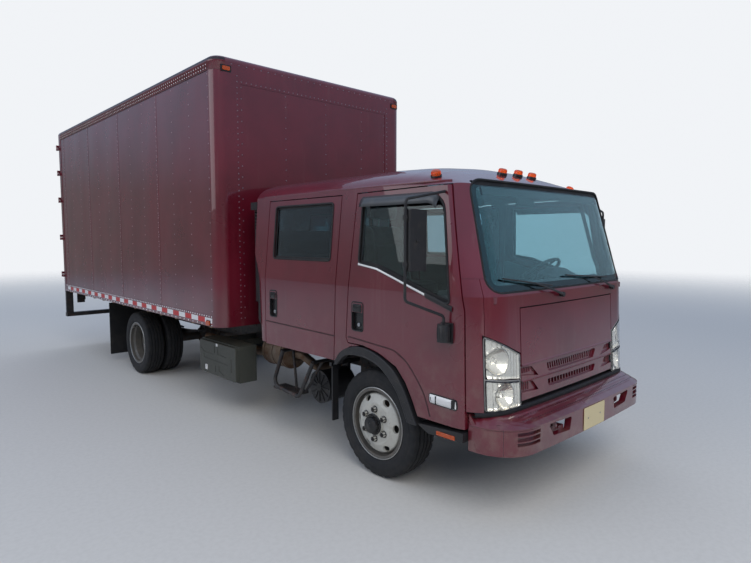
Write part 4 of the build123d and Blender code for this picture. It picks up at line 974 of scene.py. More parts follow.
# The step's outer corners, closed where the pressing runs under the strip
CORNER_PATCHES = (
    # outline in X and Y, then the plane's height at a point and its slopes along X and Y
    (((0.936, -4.046), (0.936, -4.086), (0.918, -4.0975), (0.866, -4.0985)),
     (0.935, -4.083, 0.6372), -0.395, 0.4625),
    (((0.945, -4.002), (0.945, -3.920), (0.900, -3.944), (0.852, -3.962), (0.838, -4.002)),
     (0.935, -4.003, 0.6665), -0.520, 0.300),
)
corners = Shape()
for side in (-1, 1):
    for outline, (near_x, near_y, near_z), along_x, along_y in CORNER_PATCHES:
        corners.slab(
            outline, -0.004,
            lambda u, v, w: (side * u, v, near_z + (u - near_x) * along_x + (v - near_y) * along_y + w),
        )
corners.make("bumper_step_corners", "chassis", "paint")

plate = Shape()
plate_outline = rounded(oblong(-0.152, 0.152, 0.474, 0.628), 0.010)
plate.slab(plate_outline, -0.0012, lambda u, v, w: (u, at(-0.0020 + w), v))
lip = [(x * 0.985, at(-0.0036), 0.551 + (z - 0.551) * 0.96) for x, z in plate_outline]
plate.tube(lip, 0.0016, 6, closed=True)
for x in (-0.089, 0.089):
    plate.dome((x, at(-0.0032), 0.550), (0, -1, 0), 0.0062, 0.0030, 12, 1)
    plate.tube([(x, at(-0.001), 0.550), (x, at(0.030), 0.550)], 0.0030, 8, 1)
plate.make("front_plate", "chassis", ["plate", "steel"])


# Doors: handles, mouldings, lamps and cards

HANDLES = (("front", (1.258, 1.379), (1.100, 1.310)), ("rear", (2.385, 2.491), (1.090, 1.320)))
MOULDING_LINE = [(1.318, 1.590), (1.22, 1.578), (1.120, 1.562), (0.96, 1.512), (0.80, 1.460), (0.66, 1.416)]
QUARTER_LINE = [(0.655, 1.412), (0.60, 1.394), (0.54, 1.376), (0.47, 1.352), (0.432, 1.340)]
DOOR_CARDS = (
    ("front", [(0.50, 1.33), (1.40, 1.56), (1.40, 1.02), (1.05, 0.97), (0.80, 0.87), (0.50, 0.95)], 0.95),
    ("rear", [(1.62, 1.57), (2.52, 1.57), (2.52, 1.02), (2.52, 0.90), (1.62, 0.90), (1.62, 0.95)], 2.07),
)


def side_strip(shape, path, half_height, proud, side):
    """A flat-backed moulding along a side-view path, rounded on its face."""
    shape.skin([
        [on_side(side, 0.0, out)(station, z + offset * half_height) for station, z in path]
        for offset, out in (
            (-1.0, -0.002), (-0.85, 0.75 * proud), (0.0, proud), (0.85, 0.75 * proud), (1.0, -0.002),
        )
    ])


for hand, side in SIDES:
    front_door = f"{hand}_front_door_body"

    def on_door(out):
        """A function that puts (station, z) at a distance outside the doors' flat."""
        return lambda station, z: (side * (CAB_HALF + out), at(station), z)

    for place, (front, rear), (foot, head) in HANDLES:
        handle = Shape()
        outline = rounded(oblong(front, rear, foot, head), 0.022)
        bezel = ((-0.006, -0.001), (-0.003, 0.0045), (0.004, 0.0045), (0.007, -0.018))
        handle.layers(outline, on_door, bezel, ends=False)
        inner = inset_outline(outline, 0.007)
        middle = (front + rear) / 2
        shrunk = [((s + middle) / 2, (z + (foot + head) / 2) / 2) for s, z in inner]
        dish = [placed(on_door(-0.0195), inner), placed(on_door(-0.0205), shrunk)]
        handle.skin(dish, around=True, ends=True)
        lever = rounded(oblong(front + 0.012, rear - 0.012, head - 0.072, head - 0.012), 0.014)
        handle.layers(lever, on_door, ((0.0, 0.0042), (0.003, 0.0100), (0.012, 0.0125)))
        handle.turned(
            ((-0.030, 0.015), (-0.012, 0.015), (-0.009, 0.012), (-0.009, 0.0005)),
            on_door(0.0)(middle, foot + 0.042), (side, 0, 0), 20, 1,
        )
        handle.make(
            f"{hand}_{place}_door_handle", f"{hand}_{place}_door_body", ["trim_gloss", "steel"], smooth=40,
        )

    moulding = Shape()
    side_strip(moulding, MOULDING_LINE, 0.0085, 0.0085, side)
    moulding.make(f"{hand}_window_moulding", front_door, "bright_trim", smooth=60)
    quarter = Shape()
    side_strip(quarter, QUARTER_LINE, 0.017, 0.010, side)
    quarter.make(f"{hand}_quarter_trim", front_door, "plastic", smooth=60)

    visor = Shape()
    visor.skin([
        [
            (side * (cab_side(s, 2.076 - 0.5 * max(0.0, 0.70 - s)) + out), at(s),
             2.076 - drop - 0.9 * max(0.0, 0.62 - s))
            for s in between(0.575, 1.305, 20)
        ]
        for drop, out in ((0.000, 0.004), (0.022, 0.026), (0.048, 0.040), (0.074, 0.046))
    ])
    thicken(visor.make(f"{hand}_rain_visor", front_door, "visor", smooth=60), 0.0028)

    def on_turn(out):
        return on_side(side, 0.0, out)

    turn = Shape()
    outline = rounded([(0.392, 0.716), (0.608, 0.722), (0.612, 0.778), (0.398, 0.772)], 0.014)
    turn.layers(outline, on_turn, ((-0.007, -0.001), (-0.005, 0.006), (0.0, 0.007)), ends=False)
    turn.layers(outline, on_turn, ((0.0, 0.006), (0.006, 0.012), (0.020, 0.015)), 1)
    for start, end in ((0.400, 0.424), (0.548, 0.555)):
        turn.layers(oblong(start, end, 0.722, 0.773), on_turn, ((0.0, 0.008), (0.0, 0.0165)))
    for station in between(0.437, 0.537, 8):
        turn.tube([on_turn(0.0150)(station, 0.731), on_turn(0.0150)(station, 0.765)], 0.0016, 6, 1)
    turn.make(f"{hand}_turn_lamp", front_door, ["trim_gloss", "white_tape"], smooth=50)
    reflector = Shape()
    reflector.box((side * 1.0335, side * 1.0400), (at(0.400), at(0.548)), (0.522, 0.549))
    reflector.make(f"{hand}_sill_reflector", "chassis", "amber", bevel=0.003)

    for place, outline, middle in DOOR_CARDS:
        card = Shape()
        outline = dense(rounded(outline, 0.03), 0.08)
        card.layers(
            outline, lambda out: on_side(side, 0.045, -out), ((0.0, 0.0006), (0.0, 0.010), (0.02, 0.014)),
        )
        card.box((side * 0.932, side * 0.972), (at(middle - 0.22), at(middle + 0.22)), (1.235, 1.275))
        card.turned(
            ((0.0, 0.030), (0.012, 0.030), (0.016, 0.022), (0.016, 0.0005)),
            (side * 0.971, at(middle - 0.05), 1.38), (-side, 0, 0), 20,
        )
        card.make(f"{hand}_{place}_door_card", f"{hand}_{place}_door_body", "grey_plastic", smooth=50)


# Mirrors: glass, clamps and screws

for hand, side in SIDES:
    body = f"{hand}_front_door_body"
    across = Vector((side * 0.970, 0.243, 0.0))
    outward = Vector((-side * 0.243, 0.970, 0.0))
    origin = Vector((side * 1.220, at(0.593), 1.765))
    glass = Shape()
    glass.slab(
        rounded(oblong(-0.055, 0.055, -0.168, 0.168), 0.012), 0.003,
        lambda u, v, w: origin + across * u + Vector((0, 0, v)) + outward * (w - 0.0095),
    )
    glass.make(f"{hand}_mirror_glass", body, "mirror")
    clamps = Shape()
    for height in (1.620, 1.900):
        clamps.tube([(side * 1.300, at(0.579), height + rise) for rise in (-0.016, 0.016)], 0.0155, 14)
        clamps.dome((side * 1.300, at(0.563), height), (0, -1, 0), 0.006, 0.004, 8, 1)
    clamps.dome((side * 1.235, at(0.5385), 1.76), (0, -1, 0), 0.009, 0.005, 12, 1)
    clamps.turned(
        ((0.0, 0.0395), (0.004, 0.0400), (0.098, 0.0400), (0.108, 0.034), (0.113, 0.020), (0.114, 0.0005)),
        (side * 1.069, at(0.470), 1.139), (0, 0, 1), 32,
    )
    for c, s in circle(10):
        foot = Vector((side * 1.069 + 0.0405 * c, at(0.470) + 0.0405 * s, 1.16))
        clamps.tube([foot, foot + Vector((0, 0, 0.07))], 0.0022, 5)
    clamps.box((side * 1.026, side * 1.045), (at(0.425), at(0.515)), (1.130, 1.255))
    clamps.make(f"{hand}_mirror_fittings", body, ["plastic", "dark_steel"])


# Lamps: amber marker domes, tail lamps and their brackets

ROOF_LAMPS = (
    # X, station and Z of the foot, and how far the lamp leans to its side
    (0, 0.650, 2.241, 0.0), (0.200, 0.655, 2.237, 0.0), (-0.200, 0.655, 2.237, 0.0),
    (0.880, 0.700, 2.176, 0.45), (-0.880, 0.700, 2.176, -0.45),
)
LAMP_LENS, LAMP_BASE, LAMP_BRACKET, LAMP_RED, LAMP_WHITE = range(5)

markers = Shape()
for x, station, z, lean in ROOF_LAMPS:
    foot = Vector((x, at(station), z))
    axis = Vector((lean, -0.25, 1.0)).normalized()
    first, second = crosswise(axis)
    markers.turned(((0.0, 0.037), (0.016, 0.037), (0.020, 0.034)), foot, axis, 28, LAMP_BASE)
    markers.turned(
        ((0.018, 0.0315), (0.038, 0.0310), (0.046, 0.0285), (0.050, 0.0215), (0.0515, 0.011),
         (0.052, 0.0004)),
        foot, axis, 28,
    )
    for c, s in circle(12):
        out = first * c + second * s
        markers.tube([foot + axis * 0.020 + out * 0.0318, foot + axis * 0.040 + out * 0.0312], 0.0016, 5)
for side in (-1, 1):
    markers.box((side * 1.2255, side * 1.2310), (at(3.245), at(3.325)), (0.930, 0.984), LAMP_BASE)
    markers.slab(
        rounded(oblong(3.251, 3.319, 0.936, 0.979), 0.010), 0.011,
        lambda u, v, w: (side * (1.2305 + w), at(u), v),
    )
    for outline, radius, depth, sunk, slot in (
        (oblong(1.045, 1.155, 3.318, 3.378), 0.012, 0.004, 0.0005, LAMP_BASE),
        (oblong(1.062, 1.138, 3.330, 3.366), 0.010, 0.008, 0.0040, LAMP_LENS),
    ):
        markers.slab(
            rounded(outline, radius), depth, lambda u, v, w: (side * u, at(BOX_FRONT - sunk - w), v), slot,
        )
    markers.box((side * 0.945, side * 0.965), (at(8.270), at(8.335)), (0.760, 0.924), LAMP_BRACKET)
    markers.box((side * 0.940, side * 1.055), (at(8.328), at(8.338)), (0.712, 0.908), LAMP_BRACKET)
    for low, high, slot in ((0.716, 0.776, LAMP_RED), (0.780, 0.840, LAMP_LENS), (0.844, 0.902, LAMP_WHITE)):
        markers.slab(
            rounded(oblong(0.946, 1.049, low, high), 0.008), 0.014,
            lambda u, v, w: (side * u, at(8.337 + w), v), slot,
        )
for x in (-0.16, 0.0, 0.16):
    markers.slab(
        rounded(oblong(x - 0.045, x + 0.045, 3.395, 3.430), 0.008), 0.012,
        lambda u, v, w: (u, at(BOX_REAR + w), v), LAMP_RED,
    )
markers.make(
    "marker_and_tail_lamps", "chassis", ["amber", "trim_gloss", "chassis", "red", "white_tape"],
    smooth=40, replaces=["lamps"],
)


# Van body outside: rivets, seams, roof rails and tape

TAPE_START = BOX_SIDE_FRONT + 0.010
TAPE_LENGTH = 0.150
RAIL_PROFILE = (
    # Z and X, from the side's lower edge over to the roof
    (3.331, 1.2252), (3.333, 1.2275), (3.404, 1.2275), (3.4062, 1.2290), (3.4200, 1.2280),
    (3.4420, 1.2190), (3.4560, 1.2040), (3.4640, 1.1800), (3.4664, 1.1500), (3.4652, 1.1490),
)


def rivet_line(shape, start, end, pitch, normal, radius=0.0075, height=0.0034, slot=0):
    """Rivets from start to end at a pitch."""
    start, end = Vector(start), Vector(end)
    count = max(1, round((end - start).length / pitch))
    for share in between(0.0, 1.0, count):
        shape.dome(start.lerp(end, share), normal, radius, height, 7, slot)


for hand, side in SIDES:
    rivets = Shape()
    seams = Shape()
    face = BOX_HALF + 0.0001
    out = (side, 0, 0)
    for row in range(int((BOX_REAR - 0.1 - BOX_SIDE_FRONT) / POST_PITCH) + 1):
        station = BOX_SIDE_FRONT + 0.012 + row * POST_PITCH
        rivet_line(rivets, (side * face, at(station), 1.075), (side * face, at(station), 3.300), 0.1055, out)
        if row % 3 == 0 and row:
            lap = face + 0.0016
            seams.box(
                (side * (face - 0.001), side * lap),
                (at(station - 0.016), at(station + 0.020)), (1.036, 3.334),
            )
            lap_rivets = (side * lap, at(station + 0.010))
            rivet_line(rivets, (*lap_rivets, 1.06), (*lap_rivets, 3.310), 0.0528, out)
    # The rows along the lower and upper rails take the bright rivets: painted glints
    for height, pitch in ((1.021, 0.0508), (0.938, 0.1016), (3.352, 0.0508), (3.386, 0.0508)):
        ends = [(side * (BOX_HALF + 0.0052), at(s), height) for s in (BOX_SIDE_FRONT + 0.02, BOX_REAR - 0.12)]
        rivet_line(rivets, *ends, pitch, out, 0.0080, 0.0042, 1)
    seams.box(
        (side * (face - 0.001), side * (face + 0.0010)),
        (at(BOX_SIDE_FRONT - 0.006), at(BOX_SIDE_FRONT + 0.003)), (0.930, 3.334), 1,
    )
    rivets.make(f"{hand}_side_rivets", "chassis", ["rivet", "bright_rivet"], smooth=60)
    seams.make(f"{hand}_side_seams", "chassis", ["sheet", "rubber"], bevel=0.0004)

    rail = Shape()
    rows = []
    for z, x in RAIL_PROFILE:
        radius = max(0.1225 - (1.2275 - x), 0.04)
        line = [(x, BOX_REAR - 0.101)]
        for angle in between(0.0, pi / 2, 12):
            line.append((1.105 + radius * cos(angle), BOX_FRONT + 0.120 - radius * sin(angle)))
        rows.append([(side * across, at(s), z) for across, s in line])
    rail.skin(rows[:5])
    rail.skin(rows[4:], 1)
    rail.make(f"{hand}_roof_rail", "chassis", ["sheet", "rail"], smooth=50)

    tape = Shape()
    for number in range(int((BOX_REAR - 0.14 - TAPE_START) / TAPE_LENGTH)):
        station = TAPE_START + number * TAPE_LENGTH
        tape.box(
            (side * (BOX_HALF + 0.0050), side * (BOX_HALF + 0.0058)),
            (at(station), at(station + TAPE_LENGTH - 0.0004)), (0.957, 1.006), number % 2,
        )
    tape.make(f"{hand}_reflective_tape", "chassis", ["white_tape", "red_tape"])

front_rivets = Shape()
for xs, station, top, pitch in (
    ((-0.941, -0.441, 0.072, 0.585, 0.941), BOX_FRONT + 0.004, 3.200, 0.106),
    ((-0.985, 0.985), BOX_FRONT, 3.300, 0.053),
):
    for x in xs:
        rivet_line(front_rivets, (x, at(station), 1.00), (x, at(station), top), pitch, (0, -1, 0))
for half, height, pitch in ((0.94, 3.250, 0.053), (1.04, 3.398, 0.080)):
    rivet_line(front_rivets, (-half, at(BOX_FRONT), height), (half, at(BOX_FRONT), height), pitch, (0, -1, 0))
front_rivets.make("front_wall_rivets", "chassis", "rivet", smooth=60)

roof_rivets = Shape()
UP = (0, 0, 1)
for row in range(13):
    y = at(BOX_FRONT + 0.22 + row * POST_PITCH)
    rivet_line(roof_rivets, (-1.12, y, BOX_TOP), (1.12, y, BOX_TOP), 0.1016, UP)
for x in (-1.138, 1.138):
    rivet_line(roof_rivets, (x, at(BOX_FRONT + 0.15), BOX_TOP), (x, at(BOX_REAR - 0.12), BOX_TOP), 0.0762, UP)
ends = [(x, at(BOX_FRONT + 0.060), BOX_TOP - 0.001) for x in (-1.10, 1.10)]
rivet_line(roof_rivets, *ends, 0.0762, UP)
roof_rivets.make("roof_rivets", "chassis", "rivet", smooth=60)


# Van body inside: posts, bows, boards and the cargo doors' gear

posts = Shape()
scuff_boards = Shape()
inner = BOX_HALF - 0.032
for side in (-1, 1):
    for row in range(13):
        station = BOX_SIDE_FRONT + 0.012 + row * POST_PITCH
        posts.box(
            (side * (inner - 0.019), side * (inner + 0.0004)),
            (at(station - 0.020), at(station + 0.020)), (1.30, 3.40),
        )
    for low in (1.014, 1.154):
        scuff_boards.box(
            (side * (inner - 0.021), side * (inner + 0.0004)),
            (at(BOX_SIDE_FRONT + 0.02), at(BOX_REAR - 0.13)), (low, low + 0.132),
        )
for row in range(9):
    station = BOX_FRONT + 0.22 + row * POST_PITCH * 1.5
    posts.box((-1.178, 1.178), (at(station - 0.022), at(station + 0.022)), (3.412, 3.4496))
posts.make("wall_posts_and_bows", "chassis", "steel", bevel=0.002)
scuff_boards.make("wall_scuff_boards", "chassis", "boards", bevel=0.003)

floor_boards = Shape()
edges = between(-(BOX_HALF - 0.055), BOX_HALF - 0.055, 13)
for low, high in zip(edges, edges[1:]):
    floor_boards.box(
        (low + 0.001, high - 0.001), (at(BOX_FRONT + 0.075), at(BOX_REAR - 0.112)), (1.0098, 1.0112),
    )
floor_boards.make("load_floor_boards", "chassis", "boards", bevel=0.0006)

for hand, side in SIDES:
    gear = Shape()
    body = f"{hand}_cargo_door_body"
    face = at(BOX_REAR)
    back = (0, 1, 0)
    edge = dense(rounded(oblong(side * 0.009, side * 1.144, 1.062, 3.358), 0.01), 0.25)
    gear.tube([(x, face - 0.002, z) for x, z in edge], 0.0065, 8, 1, closed=True)
    for height in (1.150, 1.750, 2.350, 2.780, 3.180):
        for x in (1.075, 1.100, 1.125):
            gear.dome((side * x, face + 0.0455, height + 0.065), back, 0.0085, 0.006)
    for height in (1.090, 1.700, 2.300, 2.900, 3.300):
        for x in (0.162, 0.198):
            gear.dome((side * x, face + 0.0240, height + 0.020), back, 0.0065, 0.004)
    lever = ((0.180, 0.022), (0.30, 0.034), (0.56, 0.034))
    gear.tube([(side * x, face + proud, 1.345) for x, proud in lever], 0.010)
    gear.make(f"{hand}_cargo_door_gear", body, ["steel", "rubber"])
    door_rivets = Shape()
    for x in (0.05, 0.60, 1.03):
        rivet_line(door_rivets, (side * x, face + 0.0002, 1.10), (side * x, face + 0.0002, 3.32), 0.106, back)
    door_rivets.make(f"{hand}_cargo_door_rivets", body, "rivet", smooth=60)


# Flare lips, door swages drawn as painted shadow lines, splash guards that also serve as painted shade, and
# the strips behind the bumper

FLARE_OUTER = eased([
    (1.572, 0.807), (1.508, 0.902), (1.402, 0.958), (1.261, 0.983), (1.095, 0.953), (0.944, 0.880),
    (0.849, 0.784), (0.790, 0.689), (0.741, 0.593), (0.713, 0.547),
])
FLARE_INNER = eased([
    (0.790, 0.547), (0.871, 0.707), (0.948, 0.796), (1.068, 0.881), (1.218, 0.921),
    (1.370, 0.920), (1.460, 0.893), (1.547, 0.815),
])
SWAGES = (
    ("front", [(1.430, 1.042), (1.369, 1.040), (1.099, 1.022), (0.939, 1.007), (0.825, 0.949),
               (0.734, 0.857), (0.662, 0.758), (0.609, 0.624)]),
    ("rear", [(1.590, 1.026), (2.080, 1.033), (2.575, 1.040)]),
)


def ribbon(shape, path, half_width, side):
    """A thin ribbon along a side-view line, bedded on the cab's side."""
    rows = []
    for share, proud in ((-1.0, -0.0005), (-0.6, 0.0006), (0.6, 0.0006), (1.0, -0.0005)):
        row = []
        for index, point in enumerate(path):
            heading = path[min(index + 1, len(path) - 1)] - path[max(index - 1, 0)]
            spot = point + Vector((-heading.y, heading.x)).normalized() * half_width * share
            row.append(on_side(side, 0.0, proud)(*spot))
        rows.append(row)
    shape.skin(rows)


for hand, side in SIDES:
    lip = Shape()
    outer = [(side * 1.0475, at(s), z) for s, z in FLARE_OUTER]
    inner = [(side * 1.0460, at(s), z) for s, z in FLARE_INNER]
    lip.tube(outer, 0.0058, 8)
    lip.tube(inner, 0.0078, 8)
    lip.tube([outer[-1], inner[0]], 0.0058, 8)
    for share in (0.06, 0.25, 0.45, 0.65, 0.82, 0.95):
        a = FLARE_OUTER[int(share * (len(FLARE_OUTER) - 1))]
        b = FLARE_INNER[int((1 - share) * (len(FLARE_INNER) - 1))]
        spot = a.lerp(b, 0.30)
        lip.dome((side * 1.0520, at(spot.x), spot.y), (side, 0, 0), 0.0065, 0.0025, 10)
    lip.make(f"{hand}_flare_lip", "chassis", "plastic", smooth=60)

# Each door swage is a thin dark ribbon: a painted shadow along the crease
for hand, side in SIDES:
    for place, line in SWAGES:
        swage = Shape()
        ribbon(swage, eased(line), 0.0075, side)
        swage.make(f"{hand}_{place}_door_swage", f"{hand}_{place}_door_body", "crease", smooth=60)

for hand, side in SIDES:
    # A flat near-black sheet inboard of each front wheel: a splash guard, and also painted shade that hides
    # the lit floor seen through the arch
    guard = Shape()
    guard.box((side * 0.498, side * 0.502), (at(0.860), at(1.640)), (0.560, 0.975))
    guard.make(f"{hand}_splash_guard_and_shade_sheet", "chassis", "rubber", bevel=0.001)


def front_strip(name, body, finish, half, gaps, strips):
    """Strips across the cab's front, each a profile of Z and inset and a bow in its middle."""
    shape = Shape()
    for profile, bow in strips:
        shape.skin([
            [on_front(inset)(x, z + bow * (1 - (x / 0.645) ** 2)) for x in between(-half, half, gaps)]
            for z, inset in profile
        ])
    shape.make(name, body, finish, smooth=50)


FILLER = (
    (0.7165, 0.030), (0.7165, 0.004), (0.712, -0.002), (0.694, -0.004), (0.684, 0.004), (0.684, 0.030),
)
APRON = ((0.716, 0.060), (0.660, 0.060), (0.600, 0.060))
front_strip("bumper_filler_strip", "chassis", "rubber", 0.984, 60, ((FILLER, 0.0),))
front_strip("front_apron", "chassis", "chassis", 0.984, 60, ((APRON, 0.0),))


# Cab interior: cushions

CLOTH_FRAMES = 20
SEAM_DEPTH = 0.011
SEAM_WIDTH = 0.010


def cushion(name, outline, x_range, cap, seams=()):
    """A foam cushion from a side-view outline across X, puffed out and sewn along seams.

    A seam is an axis number and the place on it. No point moves further than cap.
    """
    shape = Shape()
    shape.skin([[(x, at(s), z) for s, z in outline] for x in x_range], around=True, ends=True)
    form = bpy.data.objects.new(name + "_form", shape.mesh(name + "_blank"))
    scene = bpy.context.scene
    scene.collection.objects.link(form)
    remesh = form.modifiers.new("voxels", "REMESH")
    remesh.mode = "VOXEL"
    remesh.voxel_size = 0.0125
    soften = form.modifiers.new("soften", "SMOOTH")
    soften.factor = 0.5
    soften.iterations = 5

    def taken():
        graph = bpy.context.evaluated_depsgraph_get()
        return bpy.data.meshes.new_from_object(form.evaluated_get(graph))

    start = taken()
    form.modifiers.clear()
    form.data = start
    rest = [v.co.copy() for v in start.vertices]
    cloth = form.modifiers.new("cloth", "CLOTH")
    cloth.settings.use_pressure = True
    cloth.settings.uniform_pressure_force = 4.0
    cloth.settings.effector_weights.gravity = 0.0
    cloth.settings.quality = 4
    cloth.point_cache.frame_start = 1
    cloth.point_cache.frame_end = CLOTH_FRAMES
    for number in range(1, CLOTH_FRAMES + 1):
        scene.frame_set(number)
    mesh = taken()
    form.modifiers.clear()
    scene.frame_set(1)
    for vertex, origin in zip(mesh.vertices, rest):
        move = vertex.co - origin
        if move.length > cap:
            vertex.co = origin + move.normalized() * cap
    low = min(z for s, z in outline)
    for vertex in mesh.vertices:
        dips = [SEAM_DEPTH * exp(-((vertex.co[axis] - spot) / SEAM_WIDTH) ** 2) for axis, spot in seams]
        vertex.co -= vertex.normal * max(dips, default=0.0)
        vertex.co.z = max(vertex.co.z, low)
    mesh.name = name
    mesh.materials.clear()
    mesh.materials.append(FINISHES["cloth"])
    mesh.shade_smooth()
    bpy.data.objects.remove(form)
    piece = bpy.data.objects.new(name, mesh)
    scene.collection.objects.link(piece)
    finer = piece.modifiers.new("finer", "SUBSURF")
    finer.levels = 1
    finer.render_levels = 1
    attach(piece, "chassis")


SEAT_BASE = [(1.022, 1.228), (1.458, 1.222), (1.458, 1.302), (1.30, 1.296), (1.10, 1.312), (1.022, 1.306)]
SEAT_BACK = [(1.446, 1.270), (1.508, 1.870), (1.528, 1.896), (1.580, 1.892), (1.572, 1.60), (1.550, 1.270)]
HEAD_REST = [(1.508, 1.930), (1.512, 2.058), (1.578, 2.058), (1.586, 1.930)]
BENCH_BASE = [(2.142, 1.196), (2.628, 1.190), (2.628, 1.300), (2.34, 1.292), (2.18, 1.306), (2.142, 1.296)]
BENCH_BACK = [(2.574, 1.340), (2.606, 1.870), (2.690, 1.870), (2.684, 1.340)]

for name, middle, half, seams in (
    ("driver_seat", 0.58, 0.228, [(0, 0.44), (0, 0.72)]),
    ("passenger_seat", -0.54, 0.268, [(0, -0.70), (0, -0.38)]),
):
    span = (middle - half, middle + half)
    cushion(f"{name}_base_cushion", SEAT_BASE, span, 0.024, seams + [(1, at(1.14))])
    cushion(f"{name}_back_cushion", SEAT_BACK, span, 0.022, seams + [(2, 1.74)])
    cushion(f"{name}_head_rest", HEAD_REST, (middle - 0.125, middle + 0.125), 0.014)
cushion("rear_bench_cushion", BENCH_BASE, (-0.888, 0.888), 0.024, [(0, -0.30), (0, 0.30)])
cushion("rear_bench_back", BENCH_BACK, (-0.888, 0.888), 0.022, [(0, -0.30), (0, 0.30), (2, 1.62)])

seat_frames = Shape()
for middle, half in ((0.58, 0.235), (-0.54, 0.275)):
    seat_frames.box((middle - half + 0.03, middle + half - 0.03), (at(1.06), at(1.45)), (0.985, 1.224))
    for edge in (-1, 1):
        x = middle + edge * (half - 0.004)
        seat_frames.box((x, x + edge * 0.022), (at(1.18), at(1.54)), (1.190, 1.262))
        seat_frames.turned(
            ((0.0, 0.032), (0.012, 0.032), (0.016, 0.026), (0.016, 0.0005)),
            (x + edge * 0.020, at(1.50), 1.262), (edge, 0, 0), 24,
        )
        seat_frames.tube([(middle + edge * 0.055, at(1.548), z) for z in (1.86, 1.96)], 0.006, 8, 1)
    seat_frames.box((middle - half + 0.02, middle + half - 0.02), (at(1.572), at(1.588)), (1.262, 1.86))
seat_frames.box((-0.86, 0.86), (at(2.17), at(2.62)), (0.985, 1.192))
seat_frames.make("seat_frames", "chassis", ["grey_plastic", "steel"], bevel=0.006, replaces=["seats"])

belts = Shape()
STRAP = ((0.902, 1.520, 1.930), (0.84, 1.500, 1.70), (0.835, 1.480, 1.35), (0.850, 1.470, 1.02))
for side in (-1, 1):
    belts.skin([[(side * x, at(s) + w, z) for x, s, z in STRAP] for w in (-0.023, 0.023)])
    belts.box((side * 0.902, side * 0.935), (at(1.495), at(1.545)), (1.900, 1.975), 1)
    belts.box((side * 0.835, side * 0.875), (at(1.44), at(1.50)), (0.985, 1.10), 1)
belts.make("seat_belts", "chassis", ["trim_gloss", "plastic"], smooth=50)


# Cab interior: dashboard, wheel, controls and linings

DASH_PAD = (
    # station, Z and how far the pad's middle bows forward
    (0.350, 1.427, 0.03), (0.420, 1.474, 0.03), (0.604, 1.446, 0.0), (0.644, 1.332, 0.0),
    (0.564, 1.186, 0.0),
)
BINNACLE = ((0.46, 0.010), (0.56, 0.085), (0.625, 0.092), (0.652, 0.066), (0.648, 0.000))
dash = Shape()
dash.skin([
    [(x, at(station + bow * (x / 0.9) ** 2), z) for x in between(-0.90, 0.90, 18)]
    for station, z, bow in DASH_PAD
])
dash.skin([
    [(0.500 + 0.185 * sin(a), at(station), 1.452 + rise * max(0.06, cos(a)) ** 0.6)
     for a in between(-pi / 2, pi / 2, 12)]
    for station, rise in BINNACLE
])
dash.box((-0.16, 0.24), (at(0.612), at(0.656)), (1.250, 1.440))
dash.box((-0.13, 0.21), (at(0.654), at(0.664)), (1.340, 1.405), 1)
dash.box((-0.13, 0.21), (at(0.650), at(0.660)), (1.262, 1.325), 1)
for x in (-0.09, 0.04, 0.17):
    dash.turned(
        ((0.0, 0.021), (0.016, 0.019), (0.018, 0.016), (0.018, 0.0005)),
        (x, at(0.658), 1.294), (0, 1, 0.1), 24, 2,
    )
for x in (-0.82, -0.22, 0.30, 0.82):
    dash.box((x - 0.055, x + 0.055), (at(0.626), at(0.650)), (1.352, 1.410), 1)
    for z in between(1.362, 1.398, 3):
        dash.box((x - 0.047, x + 0.047), (at(0.646), at(0.656)), (z, z + 0.003), 2)
dash.box((-0.74, -0.30), (at(0.560), at(0.628)), (1.212, 1.330))
dash.box((-0.58, -0.46), (at(0.626), at(0.636)), (1.292, 1.306), 2)
for x in (0.43, 0.57):
    dash.turned(
        ((0.0, 0.046), (0.006, 0.046), (0.006, 0.041), (0.001, 0.040), (0.001, 0.0005)),
        (x, at(0.634), 1.472), (0, 0.92, 0.39), 32, 1,
    )
dash.make("dashboard_fittings", "chassis", ["grey_plastic", "trim_gloss", "plastic"], bevel=0.003, smooth=50)

column = Vector((0.0, -0.6235, -0.7818))
wheel_centre = Vector((0.500, at(0.757), 1.477))
wheel_axis = -column
first = Vector((1, 0, 0))
second = wheel_axis.cross(first)
wheel = Shape()
wheel.tube([wheel_centre + (first * c + second * s) * 0.2020 for c, s in circle(72)], 0.0148, 14, closed=True)
for c, s in circle(3, -90):
    out = first * c + second * s
    across = wheel_axis.cross(out)
    rows = []
    for share in between(0.0, 1.0, 6):
        middle = wheel_centre + out * (0.030 + 0.166 * share) - wheel_axis * 0.018 * (1 - share) ** 2
        half = 0.026 - 0.010 * sin(pi * share)
        rows.append([middle + across * half * c + wheel_axis * 0.0075 * s for c, s in circle(10)])
    wheel.skin(rows, around=True, ends=True)
wheel.turned(
    ((-0.032, 0.030), (-0.028, 0.060), (0.004, 0.066), (0.014, 0.060), (0.019, 0.040), (0.020, 0.0005)),
    wheel_centre, wheel_axis, 40,
)
wheel.make("steering_wheel_rim", "steering_wheel_body", "trim_gloss", smooth=50, replaces=["steering_wheel"])

controls = Shape()
controls.turned(
    ((0.0, 0.040), (0.05, 0.052), (0.16, 0.058), (0.20, 0.050)), wheel_centre + column * 0.046, column, 28,
)
for side in (-1, 1):
    stalk = wheel_centre + column * 0.085
    bends = [(side * x, y, z) for x, y, z in ((0.04, 0, 0), (0.15, 0.012, 0.01), (0.185, 0.016, 0.014))]
    controls.tube([stalk + Vector(bend) for bend in bends], lambda share: 0.006 + 0.003 * share)
controls.tube(
    [(0.11, at(0.86), 0.985), (0.115, at(0.90), 1.16), (0.13, at(0.92), 1.235)],
    lambda share: 0.013 - 0.004 * share,
)
controls.dome((0.131, at(0.922), 1.236), (0.05, 0.1, 1), 0.025, 0.036, 16)
controls.turned(
    ((0.0, 0.085), (0.03, 0.075), (0.06, 0.040), (0.09, 0.020)), (0.110, at(0.86), 0.982), (0, 0, 1), 24,
)
controls.tube([(0.20, at(1.25), 0.990), (0.20, at(1.06), 1.10)], 0.013)
